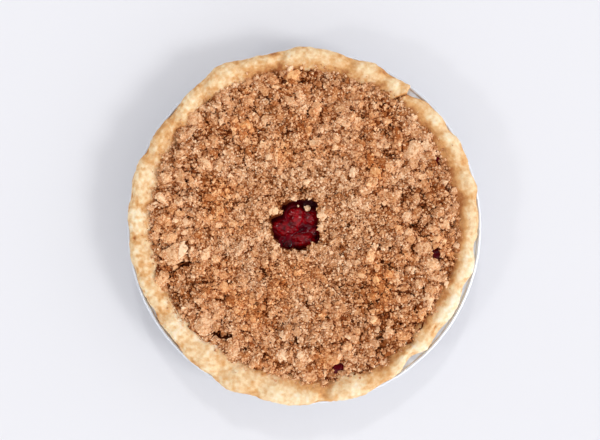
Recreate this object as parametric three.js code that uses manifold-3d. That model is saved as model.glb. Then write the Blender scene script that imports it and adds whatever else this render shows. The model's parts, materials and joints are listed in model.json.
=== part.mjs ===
// Crumb-topped cherry pie in its rolled-rim foil tin.
// Millimetres, +Z up. The origin is the middle of the tin's flat underside.
import * as THREE from 'three';
import { mergeVertices } from 'three/addons/utils/BufferGeometryUtils.js';
import Module from 'manifold-3d';

// ---- Driving dimensions --------------------------------------------------

const GAP = 0.4; // clearance that separate pieces keep to each other

const TIN = {
  baseRadius: 92, // flat bottom that the pie stands on
  mouthRadius: 111, // where the sloping wall meets the rim
  rimRadius: 122, // over the rolled edge: a nine-inch tin
  rimHeight: 29.5, // top of the flat rim
  wall: 0.8, // foil, stiff enough to hold as a solid
  beadRadius: 1.5, // rolled edge
  segments: 60,
};

const PASTRY = {
  thickness: 3.6, // rolled dough on the bottom and the wall
  footRadius: 104.5, // inside of the wall at the top of the filling
  crestHeight: 37.8, // top of the raised edge
  crestInset: 7, // from the outer edge in to the crest
  lipHeight: 34.2, // where the crumbs meet the inner slope
  reach: 120.4, // outer edge, before its swells
  innerEdge: 105.6, // inner edge, before its swells
  segments: 84,
};

const FILLING = {
  top: 26.8,
  bottomRadius: 86.2,
  smoothing: 0.1, // surfaces may move this much where flat patches are joined
};

const CRUMBS = {
  lowest: FILLING.top + GAP,
  domeHeight: 37.6, // surface round the hole
  edgeHeight: 34.6, // surface beside the pastry
  relief: 0.6, // height of the bumps between the fused crumbs
  rings: 5,
  reach: 106, // loose crumbs lie no farther out
  edgeRoom: 1.2, // and keep this far from the pastry
  apart: 0.62, // share of their sizes that two crumbs keep apart
  tries: 6000, // places tried for each size of crumb
  segments: PASTRY.segments,
  seed: 41,
  smoothing: 0.3, // as for the filling
};

const HOLE = { x: -6, y: 1.2, radius: 17.2 };

// Swells and dips of the hand-pressed edge: azimuth and half width in degrees, reach in mm.
const OUTER_SWELLS = [
  { at: 0, width: 9, reach: -0.6 },
  { at: 20, width: 9, reach: 0.5 },
  { at: 42, width: 9, reach: -1 },
  { at: 66, width: 7, reach: 0.7 },
  { at: 92, width: 9, reach: 2.8 },
  { at: 118, width: 9, reach: 4.3 },
  { at: 138, width: 8, reach: -0.4 },
  { at: 165, width: 9, reach: 1.9 },
  { at: 205, width: 7, reach: -2.2 },
  { at: 217, width: 6, reach: -2.2 },
  { at: 247, width: 8, reach: 2.1 },
  { at: 268, width: 9, reach: 1.8 },
  { at: 290, width: 7, reach: 1.8 },
  { at: 309, width: 5, reach: -4.9 },
  { at: 322, width: 6, reach: -3.4 },
  { at: 331, width: 5, reach: -1.9 },
  { at: 340, width: 5, reach: -3.6 },
  { at: 353, width: 6, reach: -3 },
];

const INNER_SWELLS = [
  { at: 32, width: 14, reach: 1 },
  { at: 60, width: 16, reach: 1.5 },
  { at: 88, width: 14, reach: 2.4 },
  { at: 118, width: 16, reach: 3.2 },
  { at: 146, width: 16, reach: 2.1 },
  { at: 170, width: 14, reach: 0.7 },
  { at: 192, width: 9, reach: -1.4 },
  { at: 212, width: 12, reach: -0.4 },
  { at: 234, width: 16, reach: -4 },
  { at: 256, width: 14, reach: -1.6 },
  { at: 278, width: 14, reach: 0.3 },
  { at: 300, width: 11, reach: 2.1 },
  { at: 322, width: 12, reach: -1.3 },
  { at: 344, width: 14, reach: -1.4 },
];

// The joint where the two ends of the pastry edge overlap.
const SEAM = { at: 52, width: 3.2, depth: 3.6, drop: 1.6 };

// The biggest lumps of topping: place, length, breadth and turn.
const CLUMPS = [
  { x: -89, y: -19.3, long: 17, wide: 14, turn: 20 },
  { x: 74.8, y: 50.9, long: 17, wide: 14, turn: 75 },
  { x: -67.6, y: -66.4, long: 16, wide: 13, turn: 50 },
  { x: -75.2, y: 73.6, long: 12, wide: 11, turn: 0 },
  { x: 81.7, y: -13.8, long: 12, wide: 11, turn: 30 },
  { x: 84.4, y: -50.2, long: 12, wide: 9, turn: 70 },
  { x: -7.8, y: 101.5, long: 11, wide: 8.5, turn: 10 },
  { x: -97, y: -34, long: 10, wide: 9, turn: 60 },
  { x: -48, y: -87, long: 10.5, wide: 9, turn: 30 },
  { x: 89.2, y: -34.4, long: 10, wide: 5.5, turn: -10 },
  { x: -91, y: -6, long: 9.6, wide: 8, turn: 10 },
  { x: 67.9, y: -74.3, long: 9, wide: 8, turn: 0 },
  { x: 88.5, y: 48, long: 11, wide: 7, turn: 85 },
  { x: -20.5, y: 13, long: 7, wide: 6, turn: 20 },
];

// Small openings between crumbs near the edge, where juice has come up.
const PITS = [
  { x: 92.7, y: 47.5, radius: 3.2 },
  { x: 91, y: -19, radius: 3 },
  { x: 94.5, y: -28.5, radius: 2.8 },
  { x: 25, y: -97, radius: 4 },
  { x: -55.5, y: -76, radius: 3.4 },
  { x: -80.5, y: -26.5, radius: 3.8 },
  { x: -99, y: -13.5, radius: 2.8 },
];

// Loose crumbs fused on the topping, largest first.
const CRUMB_SIZES = [
  { count: 26, smallest: 6.2, largest: 8.4, from: 74 },
  { count: 35, smallest: 4.8, largest: 6.4, from: 50 },
  { count: 43, smallest: 3.8, largest: 5, from: 20 },
];

// Cherries in the hole: place, half sizes and turn; each later one is pressed against the earlier.
const CHERRIES = [
  { x: -14.2, y: -1.2, z: 26.4, half: [8, 5.2, 5.4], turn: -8 },
  { x: -6, y: 6.2, z: 26.8, half: [5.8, 6.8, 5.6], turn: 12 },
  { x: 4.4, y: 5.2, z: 26.6, half: [5.6, 5.3, 5.4], turn: 0 },
  { x: -0.4, y: -9.6, z: 26.8, half: [8.2, 4.9, 5.4], turn: 5 },
  { x: 5.2, y: -3.4, z: 25.4, half: [4.6, 4.4, 5.2], turn: 40 },
  { x: -12.6, y: -10.4, z: 25, half: [5.2, 4.6, 5], turn: 30 },
];

const CHERRY_SMOOTHING = 0.04; // as for the filling

const COLOURS = {
  tin: 0xb9bcc2,
  crust: 0xedd09c,
  filling: 0x2a0208,
  cherry: 0x9a0b1c,
  crumbs: 0xbd8c5e,
};

// ---- Small helpers -------------------------------------------------------

function makeRandom(seed) {
  let state = seed;
  return () => {
    state = (state + 0x6d2b79f5) | 0;
    let mixed = Math.imul(state ^ (state >>> 15), 1 | state);
    mixed = (mixed + Math.imul(mixed ^ (mixed >>> 7), 61 | mixed)) ^ mixed;
    return ((mixed ^ (mixed >>> 14)) >>> 0) / 4294967296;
  };
}

function between(random, low, high) {
  return low + (high - low) * random();
}

function polar(radius, angle, z) {
  return new THREE.Vector3(radius * Math.cos(angle), radius * Math.sin(angle), z);
}

function swell(angle, { at, width }) {
  const turn = THREE.MathUtils.degToRad(at) - angle;
  const away = THREE.MathUtils.radToDeg(Math.abs(Math.atan2(Math.sin(turn), Math.cos(turn))));
  return Math.exp(-((away / width) ** 2));
}

function sumSwells(angle, swells) {
  return swells.reduce((sum, each) => sum + each.reach * swell(angle, each), 0);
}

// Closed surface through one section per azimuth. A section runs round a closed loop,
// or starts and ends on the axis.
function sweepSections(sectionAt, segments, isLoop) {
  const sections = [];
  for (let i = 0; i < segments; i++) {
    sections.push(sectionAt((i / segments) * 2 * Math.PI));
  }
  const points = [];
  const addTriangle = (a, b, c) => {
    if (a.distanceTo(b) > 1e-4 && b.distanceTo(c) > 1e-4 && c.distanceTo(a) > 1e-4) {
      points.push(a, b, c);
    }
  };
  const count = sections[0].length;
  const spans = isLoop ? count : count - 1;
  for (let i = 0; i < segments; i++) {
    const here = sections[i];
    const next = sections[(i + 1) % segments];
    for (let k = 0; k < spans; k++) {
      const up = (k + 1) % count;
      addTriangle(here[k], next[k], next[up]);
      addTriangle(here[k], next[up], here[up]);
    }
  }
  const geometry = new THREE.BufferGeometry().setFromPoints(points);
  return mergeVertices(geometry, 1e-4);
}

// ---- Pastry edge: the shared shape that the tin, crust and topping follow ----

function outerEdge(angle) {
  return PASTRY.reach + sumSwells(angle, OUTER_SWELLS) - SEAM.depth * swell(angle, SEAM);
}

function innerEdge(angle) {
  return PASTRY.innerEdge + sumSwells(angle, INNER_SWELLS);
}

function footRadius(angle) {
  return Math.min(PASTRY.footRadius, innerEdge(angle) - 2);
}

function crestHeight(angle) {
  const thumbprints = 0.5 * Math.sin(13 * angle + 0.6) + 0.3 * Math.sin(29 * angle + 2);
  return PASTRY.crestHeight + thumbprints - SEAM.drop * swell(angle, SEAM);
}

// Height of the pastry's underside over the flat rim and the rolled edge.
function undersideHeight(radius) {
  const beadStart = TIN.rimRadius - 2 * TIN.beadRadius - 1.4;
  const rise = THREE.MathUtils.smoothstep(radius, beadStart, beadStart + 1.2);
  return TIN.rimHeight + GAP + rise * (TIN.beadRadius - TIN.wall / 2 + 0.2);
}

// ---- Tin -----------------------------------------------------------------

function tinGeometry() {
  const { baseRadius, mouthRadius, rimRadius, rimHeight, wall, beadRadius, segments } = TIN;
  const beadCentre = new THREE.Vector2(rimRadius - beadRadius, rimHeight - wall / 2);
  const profile = [
    new THREE.Vector2(0, 0),
    new THREE.Vector2(baseRadius - 1.2, 0),
    new THREE.Vector2(baseRadius + 0.4, 1.4),
    new THREE.Vector2(mouthRadius, rimHeight - wall),
    new THREE.Vector2(rimRadius - 2 * beadRadius - 0.2, rimHeight - wall),
  ];
  for (let step = 0; step <= 4; step++) {
    const angle = THREE.MathUtils.degToRad(-135 + step * 67.5);
    const spoke = new THREE.Vector2(Math.cos(angle), Math.sin(angle));
    profile.push(beadCentre.clone().addScaledVector(spoke, beadRadius));
  }
  profile.push(
    new THREE.Vector2(rimRadius - 2 * beadRadius - 0.2, rimHeight),
    new THREE.Vector2(mouthRadius - 0.6, rimHeight),
    new THREE.Vector2(baseRadius - 0.5, 1.6),
    new THREE.Vector2(baseRadius - 1.6, wall),
    new THREE.Vector2(0, wall),
  );
  return new THREE.LatheGeometry(profile, segments).rotateX(Math.PI / 2);
}

// ---- Crust: bottom, wall and raised edge in one piece of dough ---------------

// The pastry's inner slope, from the crest down to the top of the filling.
function innerSlope(angle) {
  const outer = outerEdge(angle);
  const inner = innerEdge(angle);
  const crest = crestHeight(angle);
  const crestRadius = outer - Math.min(PASTRY.crestInset, (outer - inner) / 2);
  const radiusAt = (t) => THREE.MathUtils.lerp(crestRadius, inner + 0.5, t);
  return [
    [crestRadius, crest],
    [radiusAt(0.45), crest - 0.8],
    [radiusAt(0.78), THREE.MathUtils.lerp(crest, PASTRY.lipHeight, 0.62)],
    [inner + 0.5, PASTRY.lipHeight],
    [footRadius(angle), CRUMBS.lowest],
  ];
}

function crustSection(angle) {
  const outer = outerEdge(angle);
  const crest = crestHeight(angle);
  const bottom = TIN.wall + GAP;
  const floor = bottom + PASTRY.thickness;
  const profile = [
    [0, bottom],
    [TIN.baseRadius - 2.4, bottom],
    [TIN.mouthRadius - 1.6, TIN.rimHeight - 0.8],
    [TIN.mouthRadius - 1.1, undersideHeight(TIN.mouthRadius)],
    [outer - 5.2, undersideHeight(outer - 5.2)],
    [outer - 2.6, undersideHeight(outer - 2.6)],
    [outer - 0.7, undersideHeight(outer) + 0.7],
    [outer, undersideHeight(outer) + 2.2],
    [outer - 1.2, crest - 2],
    [outer - 3.6, crest - 0.4],
    ...innerSlope(angle),
    [FILLING.bottomRadius + GAP, floor],
    [0, floor],
  ];
  return profile.map(([radius, z]) => polar(radius, angle, z));
}

// The space inside the pastry edge that the topping may fill.
function toppingRoomSection(angle) {
  const slope = innerSlope(angle).map(([radius, z]) => [radius - 2.2 * GAP, z]).reverse();
  const crestRadius = slope[slope.length - 1][0];
  const ceiling = 2 * PASTRY.crestHeight;
  const profile = [[0, CRUMBS.lowest], ...slope, [crestRadius, ceiling], [0, ceiling]];
  return profile.map(([radius, z]) => polar(radius, angle, z));
}

// ---- Filling: runs right through the pie, and shows in the middle ------------

function fillingSection(angle) {
  const bottom = TIN.wall + GAP + PASTRY.thickness + GAP;
  const top = FILLING.top;
  const profile = [
    [0, bottom],
    [FILLING.bottomRadius - GAP, bottom],
    [footRadius(angle) - 2 * GAP, top - 0.6],
    [footRadius(angle) - 3 * GAP, top],
    [0, top],
  ];
  return profile.map(([radius, z]) => polar(radius, angle, z));
}

function cherryGeometry({ x, y, z, half, turn }, growth) {
  const geometry = new THREE.IcosahedronGeometry(1, 2);
  geometry.scale(half[0] + growth, half[1] + growth, half[2] + growth);
  geometry.rotateZ(THREE.MathUtils.degToRad(turn));
  geometry.translate(x, y, z);
  return geometry;
}

// ---- Crumb topping: a low dome with a hole, and crumbs fused on it -----------

function holeRadius(angle) {
  const wobble = 0.05 * Math.sin(3 * angle + 1.1) + 0.045 * Math.sin(5 * angle - 0.6);
  return HOLE.radius * (1 + wobble);
}

function holePoint(angle, outward, z) {
  const point = polar(holeRadius(angle) + outward, angle, z);
  return point.add(new THREE.Vector3(HOLE.x, HOLE.y, 0));
}

function crumbSurface(x, y) {
  const radius = Math.hypot(x, y);
  const fall = Math.min(1, radius / PASTRY.innerEdge) ** 2.4;
  const hollows = 0.5 * Math.sin(x / 13 + 0.7) * Math.cos(y / 16 - 0.4) + 0.3 * Math.sin((x - y) / 9);
  return THREE.MathUtils.lerp(CRUMBS.domeHeight, CRUMBS.edgeHeight, fall) + hollows * (1 - fall);
}

function crumbSection(angle, random) {
  const lip = holePoint(angle, 1.6, 0);
  const rim = polar(innerEdge(angle) - 0.5, angle, 0);
  const section = [
    polar(footRadius(angle) - 0.9, angle, CRUMBS.lowest),
    polar(innerEdge(angle) - 0.3, angle, PASTRY.lipHeight - 0.1),
  ];
  for (let ring = CRUMBS.rings; ring >= 0; ring--) {
    const point = lip.clone().lerp(rim, ring / (CRUMBS.rings + 0.5));
    const spacing = (2 * Math.PI * Math.hypot(point.x, point.y)) / CRUMBS.segments;
    const bump = CRUMBS.relief * Math.min(1, spacing / 6) * between(random, -1, 1);
    point.z = crumbSurface(point.x, point.y) + bump;
    section.push(point);
  }
  section.push(
    holePoint(angle, 0.5, CRUMBS.domeHeight - 1.6),
    holePoint(angle, 0, CRUMBS.domeHeight - 4.6),
    holePoint(angle, 0.4, CRUMBS.lowest),
  );
  return section;
}

// A craggy lump with a few flat faces.
function lumpGeometry(long, wide, tall, detail, random) {
  const source = new THREE.IcosahedronGeometry(0.5, detail);
  source.deleteAttribute('normal');
  source.deleteAttribute('uv');
  const geometry = mergeVertices(source, 1e-4);
  const position = geometry.attributes.position;
  for (let i = 0; i < position.count; i++) {
    const scale = between(random, 0.86, 1.12);
    position.setXYZ(i, position.getX(i) * scale, position.getY(i) * scale, position.getZ(i) * scale);
  }
  geometry.scale(long, wide, tall);
  return geometry;
}

function clumpGeometry({ x, y, long, wide, turn }, random) {
  const tall = Math.min(9, 0.75 * wide);
  const geometry = lumpGeometry(long, wide, tall, long > 11 ? 1 : 0, random);
  geometry.rotateZ(THREE.MathUtils.degToRad(turn));
  geometry.translate(x, y, crumbSurface(x, y) + 0.12 * tall);
  return geometry;
}

function looseCrumbGeometry({ x, y, size }, random) {
  const geometry = lumpGeometry(size * 1.1, size * 0.95, size * 0.9, 0, random);
  geometry.rotateX(between(random, -0.6, 0.6));
  geometry.rotateZ(between(random, 0, Math.PI));
  geometry.translate(x, y, crumbSurface(x, y) + 0.14 * size);
  return geometry;
}

function isClear(x, y, size, placed) {
  const angle = Math.atan2(y, x);
  const fromHole = Math.hypot(x - HOLE.x, y - HOLE.y) - holeRadius(Math.atan2(y - HOLE.y, x - HOLE.x));
  const fromEdge = innerEdge(angle) - Math.hypot(x, y);
  const neighbours = placed.every((other) => {
    return Math.hypot(x - other.x, y - other.y) > CRUMBS.apart * (size + other.size);
  });
  const room = CRUMBS.apart * size;
  return fromHole > room && fromEdge > room + CRUMBS.edgeRoom && neighbours;
}

// Crumbs spread evenly in each size, the biggest toward the edge.
function placeCrumbs(random) {
  const taken = CLUMPS.map(({ x, y, long }) => ({ x, y, size: long }));
  taken.push(...PITS.map(({ x, y, radius }) => ({ x, y, size: 2 * radius })));
  const crumbs = [];
  for (const { count, smallest, largest, from } of CRUMB_SIZES) {
    const area = Math.PI * (CRUMBS.reach ** 2 - from ** 2);
    const spacing = Math.sqrt(area / count) * CRUMBS.apart;
    const sameSize = [];
    for (let tries = 0; sameSize.length < count && tries < CRUMBS.tries; tries++) {
      const radius = Math.sqrt(between(random, from ** 2, CRUMBS.reach ** 2));
      const angle = between(random, 0, 2 * Math.PI);
      const x = radius * Math.cos(angle);
      const y = radius * Math.sin(angle);
      const size = between(random, smallest, largest);
      const spread = sameSize.every((other) => Math.hypot(x - other.x, y - other.y) > spacing);
      if (spread && isClear(x, y, size, taken)) {
        sameSize.push({ x, y, size });
        taken.push({ x, y, size });
      }
    }
    crumbs.push(...sameSize);
  }
  return crumbs;
}

function pitGeometry({ x, y, radius }, random) {
  const geometry = lumpGeometry(2 * radius, 2 * radius, 9, 0, random);
  geometry.translate(x, y, crumbSurface(x, y) + 0.4);
  return geometry;
}

// ---- Joining and cutting -------------------------------------------------

const manifold = await Module();
manifold.setup();

function toSolid(source) {
  const bare = source.clone();
  bare.deleteAttribute('normal');
  bare.deleteAttribute('uv');
  const merged = mergeVertices(bare, 1e-4);
  return new manifold.Manifold(new manifold.Mesh({
    numProp: 3,
    vertProperties: new Float32Array(merged.attributes.position.array),
    triVerts: new Uint32Array(merged.index.array),
  }));
}

function toGeometry(solid) {
  const { vertProperties, triVerts } = solid.getMesh();
  const geometry = new THREE.BufferGeometry();
  geometry.setAttribute('position', new THREE.BufferAttribute(vertProperties, 3));
  geometry.setIndex(new THREE.BufferAttribute(triVerts, 1));
  return geometry;
}

function cutAll(solid, cutters) {
  return cutters.reduce((rest, cutter) => rest.subtract(cutter), solid);
}

// ---- Assembly ------------------------------------------------------------

function makeMesh(name, geometry, material) {
  const mesh = new THREE.Mesh(geometry, new THREE.MeshStandardMaterial(material));
  mesh.name = name;
  return mesh;
}

function makeCherries() {
  return CHERRIES.map((cherry, i) => {
    const earlier = CHERRIES.slice(0, i).map((other) => toSolid(cherryGeometry(other, GAP)));
    const whole = toSolid(cherryGeometry(cherry, 0));
    return toGeometry(cutAll(whole, earlier).simplify(CHERRY_SMOOTHING));
  });
}

function makeTopping(cherryRoom) {
  const random = makeRandom(CRUMBS.seed);
  const room = toSolid(sweepSections(toppingRoomSection, PASTRY.segments, false));
  const dome = toSolid(sweepSections((angle) => crumbSection(angle, random), CRUMBS.segments, true));
  const pits = PITS.map((pit) => toSolid(pitGeometry(pit, random)));
  const clumps = CLUMPS.map((clump) => toSolid(clumpGeometry(clump, random)).intersect(room));
  const loose = placeCrumbs(random).map((crumb) => toSolid(looseCrumbGeometry(crumb, random)));
  const pitted = cutAll(dome.simplify(CRUMBS.smoothing), pits);
  const heap = manifold.Manifold.union([pitted, ...clumps, ...loose]);
  return toGeometry(cutAll(heap, cherryRoom).simplify(CRUMBS.smoothing));
}

const cherryRoom = CHERRIES.map((cherry) => toSolid(cherryGeometry(cherry, GAP)));
const fillingBlock = toSolid(sweepSections(fillingSection, PASTRY.segments, false));

const pie = new THREE.Group();
pie.add(makeMesh('tin', tinGeometry(), { color: COLOURS.tin, roughness: 0.35, metalness: 1 }));
pie.add(makeMesh('crust', sweepSections(crustSection, PASTRY.segments, false), {
  color: COLOURS.crust,
  roughness: 0.75,
  metalness: 0,
}));
pie.add(makeMesh('filling', toGeometry(cutAll(fillingBlock, cherryRoom).simplify(FILLING.smoothing)), {
  color: COLOURS.filling,
  roughness: 0.15,
  metalness: 0,
}));
makeCherries().forEach((geometry, i) => {
  pie.add(makeMesh(`cherry_${i + 1}`, geometry, {
    color: COLOURS.cherry,
    roughness: 0.2,
    metalness: 0,
  }));
});
pie.add(makeMesh('crumb_topping', makeTopping(cherryRoom), {
  color: COLOURS.crumbs,
  roughness: 0.9,
  metalness: 0,
}));

export default pie;
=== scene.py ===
import json
import logging
import math
from dataclasses import dataclass
from enum import Enum
from functools import cached_property

import bmesh
import bpy
import numpy as np
from bpy.types import Collection, Material, Node, NodeOutputs, NodeSocket, NodeTree, Object
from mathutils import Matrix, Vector

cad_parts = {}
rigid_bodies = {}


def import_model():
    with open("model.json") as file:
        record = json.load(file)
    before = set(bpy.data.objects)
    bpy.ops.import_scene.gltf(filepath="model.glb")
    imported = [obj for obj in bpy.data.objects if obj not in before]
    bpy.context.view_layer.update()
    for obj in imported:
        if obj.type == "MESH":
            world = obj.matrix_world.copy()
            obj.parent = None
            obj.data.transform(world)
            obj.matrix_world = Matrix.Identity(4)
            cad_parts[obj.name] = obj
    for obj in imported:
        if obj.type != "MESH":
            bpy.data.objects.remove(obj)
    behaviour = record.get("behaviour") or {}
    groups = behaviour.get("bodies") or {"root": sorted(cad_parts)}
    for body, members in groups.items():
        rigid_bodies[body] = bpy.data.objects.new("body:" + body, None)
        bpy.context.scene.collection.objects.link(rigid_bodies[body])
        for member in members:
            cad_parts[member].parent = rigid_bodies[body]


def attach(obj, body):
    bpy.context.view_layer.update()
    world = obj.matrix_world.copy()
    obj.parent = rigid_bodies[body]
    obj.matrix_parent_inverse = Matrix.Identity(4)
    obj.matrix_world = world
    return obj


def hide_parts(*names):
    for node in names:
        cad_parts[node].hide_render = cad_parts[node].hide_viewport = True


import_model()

# A crumb-topped cherry pie in its rolled-rim foil tin. Sizes are millimetres, turned into
# metres as each mesh is made. The origin is the middle of the tin's flat underside.

LOG = logging.getLogger("cherry_pie")
MM = 0.001
ROOT = "root"
SIZE = "size"  # name of the value that carries a crumb's size in metres

# A Mix node has several sockets of one name, so the colour ones are found by their places.
MIX_FACTOR, MIX_A, MIX_B, MIX_RESULT = 0, 6, 7, 2
# So are a Random Value node's: numbers, directions and whole numbers.
RANDOM_LOW, RANDOM_HIGH, RANDOM_SEED, RANDOM_RESULT = 2, 3, 8, 1
RANDOM_VECTOR_HIGH, RANDOM_VECTOR_RESULT = 1, 0
RANDOM_WHOLE_LOW, RANDOM_WHOLE_HIGH, RANDOM_WHOLE_RESULT = 4, 5, 2


class Slot(Enum):
    """The record's material slots."""

    FOIL = "foil"
    PASTRY = "pastry"
    FILLING = "filling"
    CHERRY = "cherry"
    CRUMBS = "crumbs"


class Shade(Enum):
    """Names of the values that the meshes carry for their finishes and their crumbs."""

    TONE = "tone"  # 0 darker to 1 paler, from crumb to crumb
    TOAST = "toast"  # how far the oven has toasted the sugar in it
    BROWNED_AND_SHADED = "browned"  # how far the oven has browned the pastry, with painted shade and painted light added in
    HOLLOW_SHADE = "hollow"  # painted shade: how deep it lies between its neighbours
    GLAZE = "glaze"  # how much dark juice covers it
    COARSE = "coarse_room"  # where the biggest crumbs may lie
    MIDDLE = "middle_room"  # where the middle crumbs may lie
    FINE = "fine_room"  # where the finest grains may lie


# ---- Numbers: noise, steps and smooth lines ----------------------------------


def blend(low: float | np.ndarray, high: float | np.ndarray, share: np.ndarray) -> np.ndarray:
    """Goes from low at share 0 to high at share 1."""
    return low + (high - low) * share


def smooth_step(low: float, high: float, value: np.ndarray) -> np.ndarray:
    """Rises softly from 0 at low to 1 at high."""
    share = np.clip((value - low) / (high - low), 0, 1)
    return share * share * (3 - 2 * share)


def degrees_away(angle: np.ndarray, at: float) -> np.ndarray:
    """Signed degrees from the azimuth at, in degrees, to each angle in radians."""
    turn = angle - math.radians(at)
    return np.degrees(np.arctan2(np.sin(turn), np.cos(turn)))


def on_the_flat(x: np.ndarray, y: np.ndarray) -> np.ndarray:
    """Points (..., 3) at height 0, where the topping's noise is read."""
    return np.stack([x, y, 0 * x], axis=-1)


def turned(points: np.ndarray, degrees: float, toward: int = 1) -> np.ndarray:
    """Turns points about the origin.

    Args:
        points: array (point, 3).
        degrees: how far the X axis turns toward the other one.
        toward: the other axis, 1 for Y or 2 for Z.

    Returns:
        The turned points.
    """
    cosine, sine = math.cos(math.radians(degrees)), math.sin(math.radians(degrees))
    moved = points.copy()
    moved[:, 0] = points[:, 0] * cosine - points[:, toward] * sine
    moved[:, toward] = points[:, 0] * sine + points[:, toward] * cosine
    return moved


@dataclass(frozen=True)
class Oval:
    """An oval on the pie, seen from above: its middle, its half sizes and its turn in degrees."""

    x: float
    y: float
    long: float
    wide: float
    turn: float

    def away(self, x: np.ndarray, y: np.ndarray) -> np.ndarray:
        """How far each place is from the oval's middle.

        Args:
            x: millimetres.
            y: millimetres.

        Returns:
            0 in the middle, 1 at the outline, more outside it.
        """
        cosine, sine = math.cos(math.radians(self.turn)), math.sin(math.radians(self.turn))
        along = (x - self.x) * cosine + (y - self.y) * sine
        aside = (y - self.y) * cosine - (x - self.x) * sine
        return np.hypot(along / self.long, aside / self.wide)


def listed(kind: type, *rows: tuple) -> tuple:
    """Makes one thing of a kind from each row of its values."""
    return tuple(kind(*row) for row in rows)


def scrambled(cells: tuple[np.ndarray, ...], seed: int) -> np.ndarray:
    """Gives every cell of a lattice its own number from 0 to 1.

    Args:
        cells: whole-number places, one array for each direction.
        seed: another seed gives another lattice.

    Returns:
        An array of the cells' shape.
    """
    mixed = np.full(cells[0].shape, seed * 2654435761 % 2**32, np.uint64)
    for cell, prime in zip(cells, (374761393, 668265263, 2246822519)):
        mixed ^= (cell.astype(np.int64) * prime % 2**32).astype(np.uint64)
        mixed = (mixed ^ (mixed >> np.uint64(15))) * np.uint64(2246822519) % np.uint64(2**32)
        mixed = (mixed ^ (mixed >> np.uint64(13))) * np.uint64(3266489917) % np.uint64(2**32)
    return (mixed ^ (mixed >> np.uint64(16))).astype(float) / 2**32


def soft_noise(points: np.ndarray, size: float, seed: int) -> np.ndarray:
    """Soft bumps from -1 to 1, about one for each size in millimetres.

    Args:
        points: array with x, y, z along its last axis, in millimetres.
        size: width of a bump.
        seed: another seed gives other bumps.

    Returns:
        One value for each point.
    """
    place = points / size
    whole = np.floor(place)
    part = place - whole
    part = part * part * (3 - 2 * part)
    total = np.zeros(points.shape[:-1])
    for corner in np.ndindex(2, 2, 2):
        near = [part[..., k] if corner[k] else 1 - part[..., k] for k in range(3)]
        cells = tuple(whole[..., k] + corner[k] for k in range(3))
        total += near[0] * near[1] * near[2] * scrambled(cells, seed)
    return 2 * total - 1


def rough_noise(points: np.ndarray, size: float, seed: int, octaves: int = 3) -> np.ndarray:
    """Soft bumps with finer bumps on them.

    Args:
        points: array with x, y, z along its last axis, in millimetres.
        size: width of the widest bumps.
        seed: another seed gives other bumps.
        octaves: number of sizes, each half of the last and half as high.

    Returns:
        One value for each point, about -1 to 1.
    """
    total = np.zeros(points.shape[:-1])
    for octave in range(octaves):
        total += soft_noise(points, size / 2**octave, seed + octave) / 2**octave
    return total / (2 - 2.0 ** (1 - octaves))


@dataclass(frozen=True)
class Bumps:
    """A layer of soft bumps: how high, how wide the widest are, and how many sizes they have."""

    height: float
    width: float
    seed: int
    sizes: int = 3

    def measure(self, points: np.ndarray, strength: float | np.ndarray = 1.0) -> np.ndarray:
        """How far the bumps move each point, up or down."""
        return self.height * strength * rough_noise(points, self.width, self.seed, self.sizes)


@dataclass(frozen=True)
class Lumps:
    """Rounded lumps of one size and height, packed side by side."""

    size: float
    relief: float
    seed: int

    def measure(self, x: np.ndarray, y: np.ndarray) -> tuple[np.ndarray, np.ndarray, np.ndarray]:
        """Finds where each place lies among the lumps.

        Args:
            x: millimetres.
            y: millimetres.

        Returns:
            How far up its lump the place is (0 to 1), how close to a crack between two lumps
            (0 to 1), and the lump's own number (0 to 1).
        """
        across, along = x / self.size, y / self.size
        column, row = np.floor(across), np.floor(along)
        nearest = np.full(x.shape, 9.0)
        second = np.full(x.shape, 9.0)
        number = np.zeros(x.shape)
        for side in np.ndindex(3, 3):
            cell = (column + side[0] - 1, row + side[1] - 1)
            centre_x = cell[0] + 0.15 + 0.7 * scrambled(cell, self.seed)
            centre_y = cell[1] + 0.15 + 0.7 * scrambled(cell, self.seed + 1)
            distance = np.hypot(across - centre_x, along - centre_y)
            closer = distance < nearest
            second = np.where(closer, nearest, np.minimum(second, distance))
            number = np.where(closer, scrambled(cell, self.seed + 2), number)
            nearest = np.where(closer, distance, nearest)
        height = np.sqrt(np.clip(1 - (nearest / 0.78) ** 2, 0, 1))
        crack = 1 - smooth_step(0, 0.16, second - nearest)
        return height, crack, number


def rounded_line(corners: np.ndarray, steps: list[int], passes: int) -> np.ndarray:
    """Puts points along a line of corners and rounds the corners off.

    Args:
        corners: array (corner, azimuth, 2) of radius and height.
        steps: number of points on each stretch between two corners.
        passes: rounds of smoothing; the two ends stay.

    Returns:
        Array (point, azimuth, 2).
    """
    pieces = []
    for k, count in enumerate(steps):
        share = (np.arange(count) / count)[:, None, None]
        pieces.append(corners[k] * (1 - share) + corners[k + 1] * share)
    line = np.concatenate([*pieces, corners[-1:]])
    for _ in range(passes):
        line[1:-1] = 0.25 * line[:-2] + 0.5 * line[1:-1] + 0.25 * line[2:]
    return line


def corner_at(angles: np.ndarray, radius: float | np.ndarray, height: float | np.ndarray) -> np.ndarray:
    """One corner of a section, as radius and height at each azimuth."""
    return np.stack(np.broadcast_arrays(radius, height, angles), axis=-1)[..., :2]


def around(line: np.ndarray, angles: np.ndarray) -> np.ndarray:
    """Turns radius and height at each azimuth into points (..., azimuth, 3)."""
    radius, height = line[..., 0], line[..., 1]
    return np.stack([radius * np.cos(angles), radius * np.sin(angles), height], axis=-1)


def full_turn(columns: int) -> np.ndarray:
    """Azimuths of evenly spaced columns, in radians."""
    return np.linspace(0, 2 * np.pi, columns, endpoint=False)


def outward(rings: np.ndarray) -> np.ndarray:
    """Finds which way a surface faces.

    Args:
        rings: its points (ring, azimuth, 3).

    Returns:
        A direction of length 1 out of the surface at each point.
    """
    along = np.gradient(rings, axis=0)
    across = np.roll(rings, -1, axis=1) - np.roll(rings, 1, axis=1)
    normal = np.cross(across, along)
    return normal / np.maximum(np.linalg.norm(normal, axis=-1, keepdims=True), 1e-9)


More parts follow.
